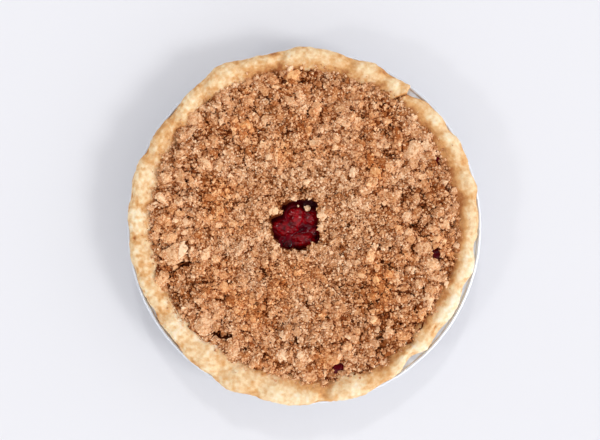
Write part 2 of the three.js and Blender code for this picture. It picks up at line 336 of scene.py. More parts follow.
# ---- Meshes ------------------------------------------------------------------


def ring_faces(rings: int, columns: int, first: int = 0, loop: bool = False) -> np.ndarray:
    """Quads between neighbouring rings of points.

    Args:
        rings: number of rings.
        columns: points in each ring.
        first: number of the first ring's first point.
        loop: whether the last ring joins the first.

    Returns:
        Array (face, 4) of point numbers.
    """
    ring, column = np.meshgrid(np.arange(rings if loop else rings - 1), np.arange(columns), indexing="ij")
    upper = (ring + 1) % rings
    following = (column + 1) % columns
    low, high = ring * columns, upper * columns
    corners = (low + column, low + following, high + following, high + column)
    return first + np.stack(corners, axis=-1).reshape(-1, 4)


def fan_faces(centre: int, first: int, columns: int, facing_down: bool) -> np.ndarray:
    """Triangles from a ring of points to a point in its middle.

    Args:
        centre: number of the middle's point.
        first: number of the ring's first point.
        columns: points in the ring.
        facing_down: whether the triangles face down or up.

    Returns:
        Array (triangle, 3) of point numbers.
    """
    column = np.arange(columns)
    following = (column + 1) % columns
    middle = np.full(columns, centre)
    edge = (following, column) if facing_down else (column, following)
    return np.stack([middle, first + edge[0], first + edge[1]], axis=-1)


def make_mesh(name: str, points: np.ndarray, faces: list[np.ndarray]) -> Object:
    """Makes an object at the origin.

    Args:
        name: the object's name.
        points: array (point, 3) in millimetres.
        faces: arrays of point numbers, each with the same number of corners throughout.

    Returns:
        The new object, linked to the scene.
    """
    sizes = np.concatenate([np.full(len(part), part.shape[1]) for part in faces])
    corners = np.concatenate([part.ravel() for part in faces]).astype(np.int32)
    starts = np.concatenate([[0], np.cumsum(sizes)[:-1]]).astype(np.int32)
    mesh = bpy.data.meshes.new(name)
    mesh.vertices.add(len(points))
    mesh.vertices.foreach_set("co", (points * MM).astype(np.float32).ravel())
    mesh.loops.add(len(corners))
    mesh.loops.foreach_set("vertex_index", corners)
    mesh.polygons.add(len(sizes))
    mesh.polygons.foreach_set("loop_start", starts)
    mesh.update(calc_edges=True)
    mesh.validate()
    mesh.shade_smooth()
    made = bpy.data.objects.new(name, mesh)
    bpy.context.scene.collection.objects.link(made)
    return made


def swept_solid(name: str, rings: np.ndarray) -> Object:
    """Closes a stack of rings at both ends.

    Args:
        name: the object's name.
        rings: points (ring, azimuth, 3), from round the bottom's middle to round the top's.

    Returns:
        The new object.
    """
    count, columns = rings.shape[:2]
    bottom = rings[0].mean(axis=0)
    top = rings[-1].mean(axis=0)
    points = np.concatenate([rings.reshape(-1, 3), [bottom, top]])
    faces = [
        ring_faces(count, columns), fan_faces(count * columns, 0, columns, facing_down=True),
        fan_faces(count * columns + 1, (count - 1) * columns, columns, facing_down=False),
    ]
    return make_mesh(name, points, faces)


def set_values(piece: Object, shade: Shade, values: np.ndarray) -> None:
    """Gives every point of a mesh a value that its finish or its crumbs read.

    Args:
        piece: the object.
        shade: the value's name.
        values: one value for each point; points added after them get 0.
    """
    attribute = piece.data.attributes.new(shade.value, "FLOAT", "POINT")
    padded = np.zeros(len(piece.data.vertices), np.float32)
    flat = np.asarray(values, np.float32).ravel()
    padded[: len(flat)] = flat
    attribute.data.foreach_set("value", padded)


def ball(detail: int) -> tuple[np.ndarray, np.ndarray]:
    """Makes a round ball of radius 1.

    Args:
        detail: each step up splits every triangle in four.

    Returns:
        Its points, and its triangles as point numbers.
    """
    sphere = bmesh.new()
    bmesh.ops.create_icosphere(sphere, subdivisions=detail, radius=1)
    points = np.array([vertex.co for vertex in sphere.verts])
    faces = np.array([[vertex.index for vertex in face.verts] for face in sphere.faces])
    sphere.free()
    return points, faces


def wrapped(points: np.ndarray) -> tuple[np.ndarray, np.ndarray]:
    """Wraps points tightly, as a broken crumb's flat faces meet at its corners.

    Args:
        points: array (point, 3).

    Returns:
        The outermost of the points, and the triangles between them.
    """
    block = bmesh.new()
    for place in points:
        block.verts.new(place)
    bmesh.ops.convex_hull(block, input=block.verts)
    inside = [vertex for vertex in block.verts if not vertex.link_faces]
    bmesh.ops.delete(block, geom=inside, context="VERTS")
    bmesh.ops.recalc_face_normals(block, faces=block.faces)
    bmesh.ops.triangulate(block, faces=block.faces)
    block.verts.index_update()
    corners = np.array([vertex.co for vertex in block.verts])
    faces = np.array([[vertex.index for vertex in face.verts] for face in block.faces])
    block.free()
    return corners, faces


def craggy(points: np.ndarray, random: np.random.Generator, facets: int, keep: float) -> np.ndarray:
    """Cuts flat facets into a ball, as a broken crumb has.

    Args:
        points: array (point, 3) on a ball of radius 1.
        random: source of the facets' directions.
        facets: number of cuts.
        keep: least distance from the middle to a facet.

    Returns:
        The moved points.
    """
    moved = points.copy()
    for _ in range(facets):
        direction = random.normal(size=3)
        direction /= np.linalg.norm(direction)
        excess = moved @ direction - random.uniform(keep, 0.95)
        moved -= np.clip(excess, 0, None)[:, None] * direction
    return moved


def add_piece(piece: Object, nodes: tuple[str, ...] = ()) -> None:
    """Fixes a finished piece to the pie and reports it.

    Args:
        piece: the finished object.
        nodes: the solids that it stands for.
    """
    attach(piece, ROOT)
    if nodes:
        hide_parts(*nodes)
    triangles = sum(len(face.vertices) - 2 for face in piece.data.polygons)
    LOG.info("%s: %d triangles", piece.name, triangles)


# ---- Finishes ----------------------------------------------------------------


def linear_colour(code: str) -> tuple[float, float, float, float]:
    """Turns an sRGB hex colour such as "#EED3A4" into the linear one that shaders take."""
    channels = [int(code[k : k + 2], 16) / 255 for k in (1, 3, 5)]
    made = [c / 12.92 if c <= 0.04045 else ((c + 0.055) / 1.055) ** 2.4 for c in channels]
    return (*made, 1.0)


def pattern_scale(size: float) -> float:
    """The Scale of a texture whose features are size millimetres wide."""
    return 1 / (size * MM)


def set_sockets(node: Node, values: dict[str | int, object]) -> None:
    """Sets a node's inputs.

    Args:
        node: the node.
        values: by an input's name or place, a value or the socket to link from.
    """
    for key, value in values.items():
        if isinstance(value, NodeSocket):
            node.id_data.links.new(value, node.inputs[key])
        else:
            node.inputs[key].default_value = value


def add_node(
    tree: NodeTree, kind: str, inputs: dict[str | int, object] | None = None, **settings: object
) -> Node:
    """Adds a node with its settings, and sets or links its inputs.

    Args:
        tree: the material's or the geometry's tree.
        kind: Blender's name for the node.
        inputs: as for set_sockets.
        settings: the node's own properties.

    Returns:
        The new node.
    """
    node = tree.nodes.new(kind)
    for name, value in settings.items():
        setattr(node, name, value)
    set_sockets(node, inputs or {})
    return node


def start_material(name: str) -> tuple[Material, NodeTree, Node]:
    """A new material with its tree and its Principled shader."""
    material = bpy.data.materials.new(name)
    material.use_nodes = True
    tree = material.node_tree
    return material, tree, tree.nodes["Principled BSDF"]


@dataclass(frozen=True)
class BakedStreusel:
    """Baked butter, flour and brown sugar: a dull, sandy surface, with painted shade that makes it
    deep brown in its cracks, pits and hollows, floury pale on its high grains and more golden where
    the sugar has toasted."""

    # The crack stop is reached mostly through painted shade in the cracks, pits and hollows.
    crack: str = "#6A2E08"
    shade: str = "#A8632F"
    crumb: str = "#DEA878"
    floury: str = "#FFDDB6"
    golden_tint: str = "#FFE5C0"
    roughness: float = 0.8
    grain: float = 1.5  # millimetres: sugar crystals, drawn twice as coarse as real to show
    relief: float = 0.35
    start: float = 0.37  # how pale a crumb of tone 0 is, from 0 crack to 1 floury
    tone_share: float = 0.78
    sand_share: float = 0.42
    hollow_shade_share: float = 1.0

    def build(self) -> Material:
        """Makes the material."""
        material, tree, shader = start_material("baked_streusel")
        place = add_node(tree, "ShaderNodeTexCoord").outputs["Object"]
        sand = add_node(
            tree, "ShaderNodeTexNoise",
            {"Vector": place, "Scale": pattern_scale(self.grain), "Detail": 3.0, "Roughness": 0.7},
        )
        sandy = add_node(
            tree, "ShaderNodeMapRange",
            {
                "Value": sand.outputs["Fac"], "From Min": 0.34, "From Max": 0.66,
                "To Min": self.start - self.sand_share / 2, "To Max": self.start + self.sand_share / 2,
            },
        )
        tone = add_node(tree, "ShaderNodeAttribute", attribute_name=Shade.TONE.value)
        toned = add_node(
            tree, "ShaderNodeMath",
            {0: tone.outputs["Fac"], 1: self.tone_share, 2: sandy.outputs["Result"]},
            operation="MULTIPLY_ADD",
        )
        # Painted shade: the hollow value darkens the colour toward the crack stop.
        hollow = add_node(tree, "ShaderNodeAttribute", attribute_name=Shade.HOLLOW_SHADE.value)
        paleness = add_node(
            tree, "ShaderNodeMath",
            {0: hollow.outputs["Fac"], 1: -self.hollow_shade_share, 2: toned.outputs["Value"]},
            operation="MULTIPLY_ADD", use_clamp=True,
        )
        baked = add_node(tree, "ShaderNodeValToRGB", {"Fac": paleness.outputs["Value"]})
        stops = baked.color_ramp.elements
        stops[0].color = linear_colour(self.crack)
        stops[1].color = linear_colour(self.floury)
        stops.new(0.33).color = linear_colour(self.shade)
        stops.new(0.62).color = linear_colour(self.crumb)
        toast = add_node(tree, "ShaderNodeAttribute", attribute_name=Shade.TOAST.value)
        golden = add_node(
            tree, "ShaderNodeMix",
            {
                MIX_FACTOR: toast.outputs["Fac"], MIX_A: baked.outputs["Color"],
                MIX_B: linear_colour(self.golden_tint),
            },
            data_type="RGBA", blend_type="MULTIPLY",
        )
        bump = add_node(
            tree, "ShaderNodeBump",
            {"Height": sand.outputs["Fac"], "Distance": self.relief * MM, "Strength": 0.9},
        )
        finish = {
            "Base Color": golden.outputs[MIX_RESULT], "Normal": bump.outputs["Normal"],
            "Roughness": self.roughness, "Specular IOR Level": 0.16,
        }
        set_sockets(shader, finish)
        return material


@dataclass(frozen=True)
class BakedPastry:
    """Rolled shortcrust, baked: a floury, softly lit surface, cream where it is thick and
    golden to brown where it is thin, with a fine dry grain; its browning also carries painted shade
    and painted light."""

    floury: str = "#FCEFD6"
    cream: str = "#F4D8AB"
    golden: str = "#DBA466"
    brown: str = "#AC6832"
    least: float = -0.4  # browning at which it is still floury
    most: float = 1.1  # browning at which it is brown
    roughness: float = 0.62
    blotch: float = 5.0  # millimetres across a patch of browning
    patchiness: float = 0.25  # how much the patches add to the browning or take from it
    grain: float = 1.4
    relief: float = 0.45

    def build(self) -> Material:
        """Makes the material."""
        material, tree, shader = start_material("baked_shortcrust")
        place = add_node(tree, "ShaderNodeTexCoord").outputs["Object"]
        blotches = add_node(
            tree, "ShaderNodeTexNoise",
            {"Vector": place, "Scale": pattern_scale(self.blotch), "Detail": 4.0, "Roughness": 0.75},
        )
        uneven = add_node(
            tree, "ShaderNodeMapRange",
            {
                "Value": blotches.outputs["Fac"], "From Min": 0.3, "From Max": 0.7,
                "To Min": -self.patchiness, "To Max": self.patchiness,
            },
        )
        toast = add_node(tree, "ShaderNodeAttribute", attribute_name=Shade.BROWNED_AND_SHADED.value)
        browning_and_shading = add_node(
            tree, "ShaderNodeMath", {0: toast.outputs["Fac"], 1: uneven.outputs["Result"]},
            operation="ADD",
        )
        share = add_node(
            tree, "ShaderNodeMapRange",
            {"Value": browning_and_shading.outputs["Value"], "From Min": self.least, "From Max": self.most},
        )
        browned = add_node(tree, "ShaderNodeValToRGB", {"Fac": share.outputs["Result"]})
        stops = browned.color_ramp.elements
        stops[0].color = linear_colour(self.floury)
        stops[1].color = linear_colour(self.brown)
        for level, colour in ((0.0, self.cream), (0.55, self.golden)):
            place_on_ramp = (level - self.least) / (self.most - self.least)
            stops.new(place_on_ramp).color = linear_colour(colour)
        grain = add_node(
            tree, "ShaderNodeTexNoise",
            {"Vector": place, "Scale": pattern_scale(self.grain), "Detail": 3.0, "Roughness": 0.7},
        )
        bump = add_node(
            tree, "ShaderNodeBump",
            {"Height": grain.outputs["Fac"], "Distance": self.relief * MM, "Strength": 0.6},
        )
        finish = {
            "Base Color": browned.outputs["Color"], "Normal": bump.outputs["Normal"],
            "Roughness": self.roughness, "Specular IOR Level": 0.35, "Subsurface Weight": 0.12,
            "Subsurface Radius": (1.0, 0.6, 0.3), "Subsurface Scale": 1.5 * MM,
        }
        set_sockets(shader, finish)
        return material


@dataclass(frozen=True)
class AluminiumFoil:
    """Pressed aluminium foil: bright bare metal whose creases break up what it mirrors."""

    colour: str = "#E6E8EC"
    roughness: float = 0.48
    crease: float = 9.0  # millimetres between the pressed creases
    rolling: float = 1.6  # millimetres between the duller and brighter streaks of its rolling
    relief: float = 0.35

    def build(self) -> Material:
        """Makes the material."""
        material, tree, shader = start_material("pressed_aluminium_foil")
        place = add_node(tree, "ShaderNodeTexCoord").outputs["Object"]
        creases = add_node(
            tree, "ShaderNodeTexNoise",
            {"Vector": place, "Scale": pattern_scale(self.crease), "Detail": 4.0, "Distortion": 0.6},
        )
        rolled = add_node(
            tree, "ShaderNodeTexNoise",
            {"Vector": place, "Scale": pattern_scale(self.rolling), "Detail": 2.0},
        )
        dulling = add_node(
            tree, "ShaderNodeMapRange",
            {
                "Value": rolled.outputs["Fac"], "To Min": self.roughness - 0.08,
                "To Max": self.roughness + 0.1,
            },
        )
        bump = add_node(
            tree, "ShaderNodeBump",
            {"Height": creases.outputs["Fac"], "Distance": self.relief * MM, "Strength": 0.7},
        )
        finish = {
            "Base Color": linear_colour(self.colour), "Normal": bump.outputs["Normal"],
            "Roughness": dulling.outputs["Result"], "Metallic": 1.0,
        }
        set_sockets(shader, finish)
        return material


@dataclass(frozen=True)
class GlazedFruit:
    """Cooked cherry flesh or the jelly round it: deep red under a wet, clear glaze that
    gives small sharp highlights."""

    name: str
    bright: str
    dark: str
    roughness: float
    relief: float  # millimetres
    blotch: float = 3.6  # millimetres across a patch of darker flesh
    wrinkle: float = 2.6

    def build(self) -> Material:
        """Makes the material."""
        material, tree, shader = start_material(self.name)
        place = add_node(tree, "ShaderNodeTexCoord").outputs["Object"]
        blotches = add_node(
            tree, "ShaderNodeTexNoise",
            {"Vector": place, "Scale": pattern_scale(self.blotch), "Detail": 3.0, "Roughness": 0.6},
        )
        patchy = add_node(
            tree, "ShaderNodeMapRange",
            {"Value": blotches.outputs["Fac"], "From Min": 0.4, "From Max": 0.64, "To Max": 0.7},
        )
        glaze = add_node(tree, "ShaderNodeAttribute", attribute_name=Shade.GLAZE.value)
        darkness = add_node(
            tree, "ShaderNodeMath", {0: patchy.outputs["Result"], 1: glaze.outputs["Fac"]},
            operation="ADD", use_clamp=True,
        )
        flesh = add_node(
            tree, "ShaderNodeMix",
            {
                MIX_FACTOR: darkness.outputs["Value"], MIX_A: linear_colour(self.bright),
                MIX_B: linear_colour(self.dark),
            },
            data_type="RGBA",
        )
        wrinkles = add_node(
            tree, "ShaderNodeTexNoise",
            {"Vector": place, "Scale": pattern_scale(self.wrinkle), "Detail": 2.0},
        )
        bump = add_node(
            tree, "ShaderNodeBump",
            {"Height": wrinkles.outputs["Fac"], "Distance": self.relief * MM, "Strength": 0.6},
        )
        finish = {
            "Base Color": flesh.outputs[MIX_RESULT], "Normal": bump.outputs["Normal"],
            "Roughness": self.roughness, "IOR": 1.42, "Specular IOR Level": 0.42,
        }
        set_sockets(shader, finish)
        return material


@dataclass(frozen=True)
class PaintedBoard:
    """White painted board under the pie: even, with a faint satin sheen."""

    colour: str = "#E8E8EB"
    roughness: float = 0.6
    stroke: float = 60.0  # millimetres across a glossier or duller stretch

    def build(self) -> Material:
        """Makes the material."""
        material, tree, shader = start_material("white_painted_board")
        place = add_node(tree, "ShaderNodeTexCoord").outputs["Object"]
        brushed = add_node(
            tree, "ShaderNodeTexNoise", {"Vector": place, "Scale": pattern_scale(self.stroke)}
        )
        satin = add_node(
            tree, "ShaderNodeMapRange",
            {
                "Value": brushed.outputs["Fac"], "To Min": self.roughness - 0.05,
                "To Max": self.roughness + 0.05,
            },
        )
        finish = {"Base Color": linear_colour(self.colour), "Roughness": satin.outputs["Result"]}
        set_sockets(shader, finish)
        return material


# ---- The pressed edge: a shape that the crust and the topping follow ------------


@dataclass(frozen=True)
class Swell:
    """A swell or dip of a rim: azimuth and half width in degrees, reach in millimetres."""

    at: float
    width: float
    reach: float

    def measure(self, angle: np.ndarray) -> np.ndarray:
        """How far it moves the rim at each angle in radians."""
        return self.reach * np.exp(-((degrees_away(angle, self.at) / self.width) ** 2))


def sum_swells(swells: tuple[Swell, ...], angle: np.ndarray) -> np.ndarray:
    """Adds up what several swells do at each angle."""
    return sum((swell.measure(angle) for swell in swells), np.zeros(np.shape(angle)))


@dataclass(frozen=True)
class PressedEdge:
    """The pie's raised edge, seen from above, and its height."""

    reach: float = 121.0
    inner_reach: float = 105.6
    foot_radius: float = 104.5
    crest_height: float = 37.8
    crest_inset: float = 7.0
    lip_height: float = 34.2
    outer_swells: tuple[Swell, ...] = listed(
        Swell, (0, 9, -0.6), (20, 9, 0.5), (42, 9, -1.0), (66, 7, 0.7), (92, 9, 2.8), (118, 9, 4.3),
        (138, 8, -0.4), (165, 9, 1.9), (205, 7, -2.2), (217, 6, -2.2), (247, 8, 2.1), (268, 9, 1.8),
        (290, 7, 1.8), (309, 5, -4.9), (322, 6, -3.4), (331, 5, -1.9), (340, 5, -3.6), (353, 6, -3.0),
    )
    inner_swells: tuple[Swell, ...] = listed(
        Swell, (32, 14, 1.0), (60, 16, 1.5), (88, 14, 2.4), (118, 16, 3.2), (146, 16, 2.1),
        (170, 14, 0.7), (192, 9, -1.4), (212, 12, -0.4), (234, 16, -4.0), (256, 14, -1.6), (278, 14, 0.3),
        (300, 11, 2.1), (322, 12, -1.3), (344, 14, -1.4),
    )
    # Dents that the fingers left across the edge; their reach is a depth.
    finger_dents: tuple[Swell, ...] = listed(
        Swell, (10, 2.4, 0.8), (21, 2.6, 1.0), (36, 2.4, 1.1), (62, 2.6, 0.9), (75, 2.4, 0.9),
        (99, 2.0, 1.7), (113, 2.6, 0.6), (127, 2.4, 0.9), (141, 2.6, 1.0), (156, 2.6, 1.4),
        (172, 2.8, 1.5), (184, 2.2, 0.7), (197, 2.4, 1.0), (211, 2.6, 1.1), (224, 2.6, 0.8),
        (240, 2.4, 0.9), (255, 2.6, 0.8), (277, 1.8, 1.6), (297, 2.6, 0.9), (310, 2.4, 1.0),
        (323, 2.6, 0.9), (339, 2.6, 1.2), (354, 2.4, 0.9),
    )
    seam_at: float = 52.3  # where the two ends of the pastry strip overlap
    seam_depth: float = 5.0  # how far the lower end draws in
    seam_run: float = 9.0  # degrees over which it does
    dent_share: float = 0.3  # how much of a finger's dent shows in the outline

    def seam_notch(self, angle: np.ndarray) -> np.ndarray:
        """How far the strip's lower end draws in from the rim, just before the seam."""
        away = degrees_away(angle, self.seam_at)
        drawn_in = smooth_step(-self.seam_run, 0, away) ** 1.3
        return self.seam_depth * drawn_in * (1 - smooth_step(0, 1.1, away))

    def outer(self, angle: np.ndarray) -> np.ndarray:
        """Radius of the outer edge."""
        dented = self.dent_share * sum_swells(self.finger_dents, angle)
        return self.reach + sum_swells(self.outer_swells, angle) - self.seam_notch(angle) - dented

    def inner(self, angle: np.ndarray) -> np.ndarray:
        """Radius at which the crumbs meet the pastry."""
        return self.inner_reach + sum_swells(self.inner_swells, angle)

    def foot(self, angle: np.ndarray) -> np.ndarray:
        """Radius of the pastry's inside at the top of the filling."""
        return np.minimum(self.foot_radius, self.inner(angle) - 4)

    def crest(self, angle: np.ndarray) -> np.ndarray:
        """Height of the edge's top, with its dents."""
        waves = 0.5 * np.sin(13 * angle + 0.6) + 0.3 * np.sin(29 * angle + 2)
        return self.crest_height + waves - 0.9 * sum_swells(self.finger_dents, angle)


EDGE = PressedEdge()


# ---- Tin -----------------------------------------------------------------------


@dataclass
class FoilTin:
    """The pleated foil tin with its flat rim and rolled edge."""

    base_radius: float = 92.0
    mouth_radius: float = 111.0
    rim_radius: float = 122.0
    rim_height: float = 29.5
    wall: float = 0.8
    bead_radius: float = 1.5
    pleats: int = 72
    pleat_depth: float = 0.55
    ripple: Bumps = Bumps(0.16, 7, 3, 2)  # of the flat rim
    dents: Bumps = Bumps(0.22, 5, 11)  # of the rolled edge
    columns: int = 1080

    def profile(self) -> tuple[np.ndarray, list[int]]:
        """Corners of the section, from the middle of the underside round to the inside.

        Returns:
            Array (corner, 2) of radius and height, and the steps on each stretch.
        """
        under_rim = self.rim_height - self.wall
        bead_height = self.rim_height - self.wall / 2
        bead_centre = self.rim_radius - self.bead_radius
        flat_end = bead_centre - self.bead_radius + 0.2
        turns = np.radians(np.linspace(-160, 160, 22))
        across, up = self.bead_radius * np.cos(turns), self.bead_radius * np.sin(turns)
        bead = np.stack([bead_centre + across, bead_height + up], axis=-1)
        before = [
            (20, 0), (self.base_radius - 1.2, 0), (self.base_radius + 0.4, 1.4),
            (self.mouth_radius, under_rim), (flat_end, under_rim),
        ]
        after = [
            (flat_end, self.rim_height), (self.mouth_radius - 0.6, self.rim_height),
            (self.base_radius - 0.5, 1.6), (self.base_radius - 1.6, self.wall), (20, self.wall),
        ]
        steps = [4, 2, 10, 8, 1] + [1] * (len(bead) - 1) + [1, 8, 6, 2, 3]
        return np.concatenate([before, bead, after]), steps

    def build(self, foil: Material) -> None:
        """Makes and dresses the tin."""
        angles = full_turn(self.columns)
        corners, steps = self.profile()
        line = rounded_line(np.repeat(corners[:, None, :], self.columns, axis=1), steps, 1)
        radius, height = line[..., 0], line[..., 1]
        up_wall = smooth_step(3, 9, height) * (1 - smooth_step(22, 28, height))
        pleating = 0.5 + 0.5 * np.cos(self.pleats * angles)
        line[..., 0] = radius + self.pleat_depth * up_wall * pleating
        rings = around(line, angles)
        on_rim = smooth_step(self.mouth_radius + 1, self.mouth_radius + 4, radius)
        on_bead = smooth_step(self.rim_radius - 3.4, self.rim_radius - 2.2, radius)
        ripple = 0.1 * np.sin(self.pleats * angles * 1.5) + self.ripple.measure(rings)
        knocks = -0.3 * smooth_step(0.35, 0.8, soft_noise(rings, 16, 17))
        dents = self.dents.measure(rings) + knocks
        rings[..., 2] += on_rim * ripple * (1 - 0.4 * on_bead)
        rings[..., :2] *= (1 + on_bead * dents / self.rim_radius)[..., None]
        tin = swept_solid("foil_tin", rings)
        tin.data.materials.append(foil)
        add_piece(tin, ("tin",))


# ---- Crust ---------------------------------------------------------------------


@dataclass(frozen=True)
class Spot:
    """A small round mark on the pie."""

    x: float
    y: float
    radius: float

    def measure(self, x: np.ndarray, y: np.ndarray) -> np.ndarray:
        """1 in the mark's middle, falling to 0 round it."""
        return np.exp(-(((x - self.x) ** 2 + (y - self.y) ** 2) / self.radius**2))


@dataclass
class PastryCrust:
    """Bottom, wall and raised edge of the pie in one piece of dough."""

    bottom: float = 1.2  # height of its underside, on the tin's floor
    thickness: float = 3.6
    base_radius: float = 89.6
    wall_radius: float = 109.4
    rest: float = 29.9  # height of the edge's underside on the tin's flat rim
    on_bead: float = 31.2  # and over its rolled edge
    columns: int = 940
    seam_tilt: float = 0.33  # degrees that the crack turns for each millimetre inward
    seam_radius: float = 115.0
    crack_depth: float = 2.6
    crack_width: float = 0.65
    dent_depth: float = 1.3
    dent_slant: float = 0.006  # radians that a finger's dent turns for each millimetre outward
    scar_depth: float = 1.5
    swelling: Bumps = Bumps(1.1, 15, 21, 2)
    lumpiness: Bumps = Bumps(0.65, 6.5, 31)
    grain: Bumps = Bumps(0.32, 2.8, 41)
    mottling: Bumps = Bumps(0.3, 9, 71, 4)  # of its browning
    flecks: Bumps = Bumps(0.36, 2.2, 73, 2)  # and the finest of it
    coarser_at: float = 165.0  # azimuth at which the dough's surface is coarsest
    coarser_width: float = 70.0
    coarser_share: float = 0.5
    torn_at: float = 140.0  # azimuth at which the rim is most nicked
    torn_width: float = 24.0
    least_browned: float = -0.4
    most_browned: float = 1.1
    scars: tuple[Spot, ...] = listed(
        Spot, (89.9, -68.8, 1.3), (-105, -26.1, 1.6), (-116.3, -7.6, 1.2), (-21.5, 119.6, 1.6),
        (-103.6, 63.0, 1.0),
    )
    # Browning of the outer side by azimuth: partly browning, partly painted light on the lit side and
    # painted shade away from it.
    outer_browning_and_shading: tuple[Swell, ...] = listed(
        Swell, (20, 14, 0.1), (45, 18, 0.22), (80, 24, 0.08), (142, 8, 0.24), (205, 9, 0.16),
        (324, 40, -0.42), (190, 60, -0.08),
    )
    # Browning of the inner slope by azimuth: partly browning, partly painted shade where it faces away
    # from the light and painted light where it faces it.
    inner_browning_and_shading: tuple[Swell, ...] = listed(
        Swell, (0, 24, 0.5), (40, 22, 0.45), (78, 16, 0.12), (101, 13, 0.42), (128, 10, 0.12),
        (215, 30, -0.22), (272, 14, 0.14), (320, 20, 0.5),
    )

    @cached_property
    def angles(self) -> np.ndarray:
        """Azimuths of the columns, closer together at the seam."""
        even = np.linspace(0, 2 * np.pi, 4001)
        closeness = 1 + 2.6 * np.exp(-((degrees_away(even, EDGE.seam_at + 1) / 4.5) ** 2))
        travelled = np.concatenate([[0], np.cumsum((closeness[1:] + closeness[:-1]) / 2)])
        wanted = np.linspace(0, travelled[-1], self.columns, endpoint=False)
        return np.interp(wanted, travelled, even)

    def section(self) -> np.ndarray:
        """Draws the section at every azimuth.

        Returns:
            Array (point, azimuth, 2) of radius and height, from near the underside's middle round
            to near the floor's.
        """
        angles = self.angles
        outer, inner, crest = EDGE.outer(angles), EDGE.inner(angles), EDGE.crest(angles)
        crest_radius = outer - np.minimum(EDGE.crest_inset, (outer - inner) / 2)
        floor = self.bottom + self.thickness

        def corner(radius: float | np.ndarray, height: float | np.ndarray) -> np.ndarray:
            """One corner at every azimuth."""
            return corner_at(angles, radius, height)

        def slope(share: float) -> np.ndarray:
            """Radius on the inner slope, from the crest to the crumbs."""
            return blend(crest_radius, inner + 0.5, share)

        def lying(radius: np.ndarray) -> np.ndarray:
            """Height of the underside, on the flat rim or over the rolled edge."""
            return self.rest + smooth_step(117.6, 118.8, radius) * (self.on_bead - self.rest)

        before = [
            corner(12, self.bottom), corner(self.base_radius, self.bottom),
            corner(self.wall_radius, self.rest - 1.2), corner(self.wall_radius + 0.5, self.rest),
        ]
        edge = [
            corner(np.maximum(outer - 5.2, self.wall_radius + 1), lying(outer - 5.2)),
            corner(outer - 2.6, lying(outer - 2.6)), corner(outer - 0.7, lying(outer) + 0.7),
            corner(outer, lying(outer) + 2.2), corner(outer - 1.1, crest - 1.8),
            corner(outer - 3.4, crest - 0.2), corner(crest_radius, crest + 0.2),
            corner(slope(0.45), crest - 0.7), corner(slope(0.78), blend(crest, EDGE.lip_height, 0.62)),
            corner(inner + 0.5, EDGE.lip_height), corner(inner - 3.2, EDGE.lip_height - 2.4),
            corner(EDGE.foot(angles), 27.2),
        ]
        after = [corner(86.6, floor), corner(12, floor)]
        lower = rounded_line(np.array(before), [3, 6, 2], 0)
        upper = rounded_line(np.array([before[-1], *edge]), [5, 4, 4, 4, 6, 6, 7, 8, 7, 5, 5, 4], 5)
        inside = rounded_line(np.array([edge[-1], *after]), [7, 3], 0)
        return np.concatenate([lower[:-1], upper[:-1], inside])

    def seam_away(self, radius: np.ndarray, angle: np.ndarray) -> np.ndarray:
        """Millimetres from the seam's crack, positive on the side of the upper end."""
        crack_at = EDGE.seam_at + self.seam_tilt * (self.seam_radius - radius)
        away = degrees_away(angle, EDGE.seam_at) - (crack_at - EDGE.seam_at)
        return np.radians(away) * radius

    def coarseness(self) -> np.ndarray:
        """How coarse the dough's surface is at each azimuth: rougher where it was pressed last."""
        away = degrees_away(self.angles, self.coarser_at) / self.coarser_width
        return 1 + self.coarser_share * np.exp(-(away**2))

    def unevenness(self, rings: np.ndarray) -> np.ndarray:
        """The dough's soft unevenness, in millimetres."""
        return self.swelling.measure(rings) + self.lumpiness.measure(rings)

    def relief(self, rings: np.ndarray) -> np.ndarray:
        """Gives the showing surface its unevenness, pores, nicks, dents, scars and seam.

        Args:
            rings: points of the smooth crust (ring, azimuth, 3).

        Returns:
            The moved points.
        """
        radius = np.hypot(rings[..., 0], rings[..., 1])
        showing = smooth_step(31.0, 33.0, rings[..., 2]) * smooth_step(100, 105, radius)
        rough = self.unevenness(rings)
        fine = self.grain.measure(rings, self.coarseness())
        pores = -0.4 * smooth_step(0.5, 0.85, soft_noise(rings, 2.6, 51))
        torn = 0.35 + 0.65 * np.exp(-((degrees_away(self.angles, self.torn_at) / self.torn_width) ** 2))
        nicked = smooth_step(-3, 0, radius - EDGE.outer(self.angles)) * torn
        nicks = -0.9 * nicked * smooth_step(0.2, 0.7, soft_noise(rings, 2.2, 61))
        slanted = self.angles + self.dent_slant * (radius - 114)
        pressed = -self.dent_depth * sum_swells(EDGE.finger_dents, slanted)
        moved = rings + outward(rings) * (showing * (rough + fine + pores + nicks + pressed))[..., None]
        for scar in self.scars:
            moved[..., 2] -= self.scar_depth * showing * scar.measure(rings[..., 0], rings[..., 1])
        away = self.seam_away(radius, self.angles)
        upper_end = 0.9 * np.exp(-np.clip(away, 0, None) / 5) * smooth_step(-0.6, 0.6, away)
        lower_end = -1.3 * np.exp(np.clip(away, None, 0) / 6) * (1 - smooth_step(-0.6, 0.6, away))
        crack = -self.crack_depth * np.exp(-((away / self.crack_width) ** 2))
        moved[..., 2] += showing * (upper_end + lower_end + crack)
        return moved

    def browning_and_shading(self, rings: np.ndarray) -> np.ndarray:
        """Finds how brown the oven has made each point, with painted shade and painted light added in.

        Args:
            rings: points of the smooth crust (ring, azimuth, 3).

        Returns:
            Below 0 where it is still floury or painted light, 0 cream, 1 brown or deep painted shade.
        """
        angle = np.arctan2(rings[..., 1], rings[..., 0])
        radius = np.hypot(rings[..., 0], rings[..., 1])
        outer, inner = EDGE.outer(angle), EDGE.inner(angle)
        across = (radius - inner) / (outer - inner)
        fringe = smooth_step(0.72, 1.0, across)
        inside = 1 - smooth_step(0.1, 0.62, across)
        # The inner slope is browner, partly as painted shade; high places are paler, a painted highlight,
        # and hollows browner, a painted shade.
        level = 0.18 + 0.14 * inside + 0.12 * fringe - 0.3 * self.unevenness(rings)
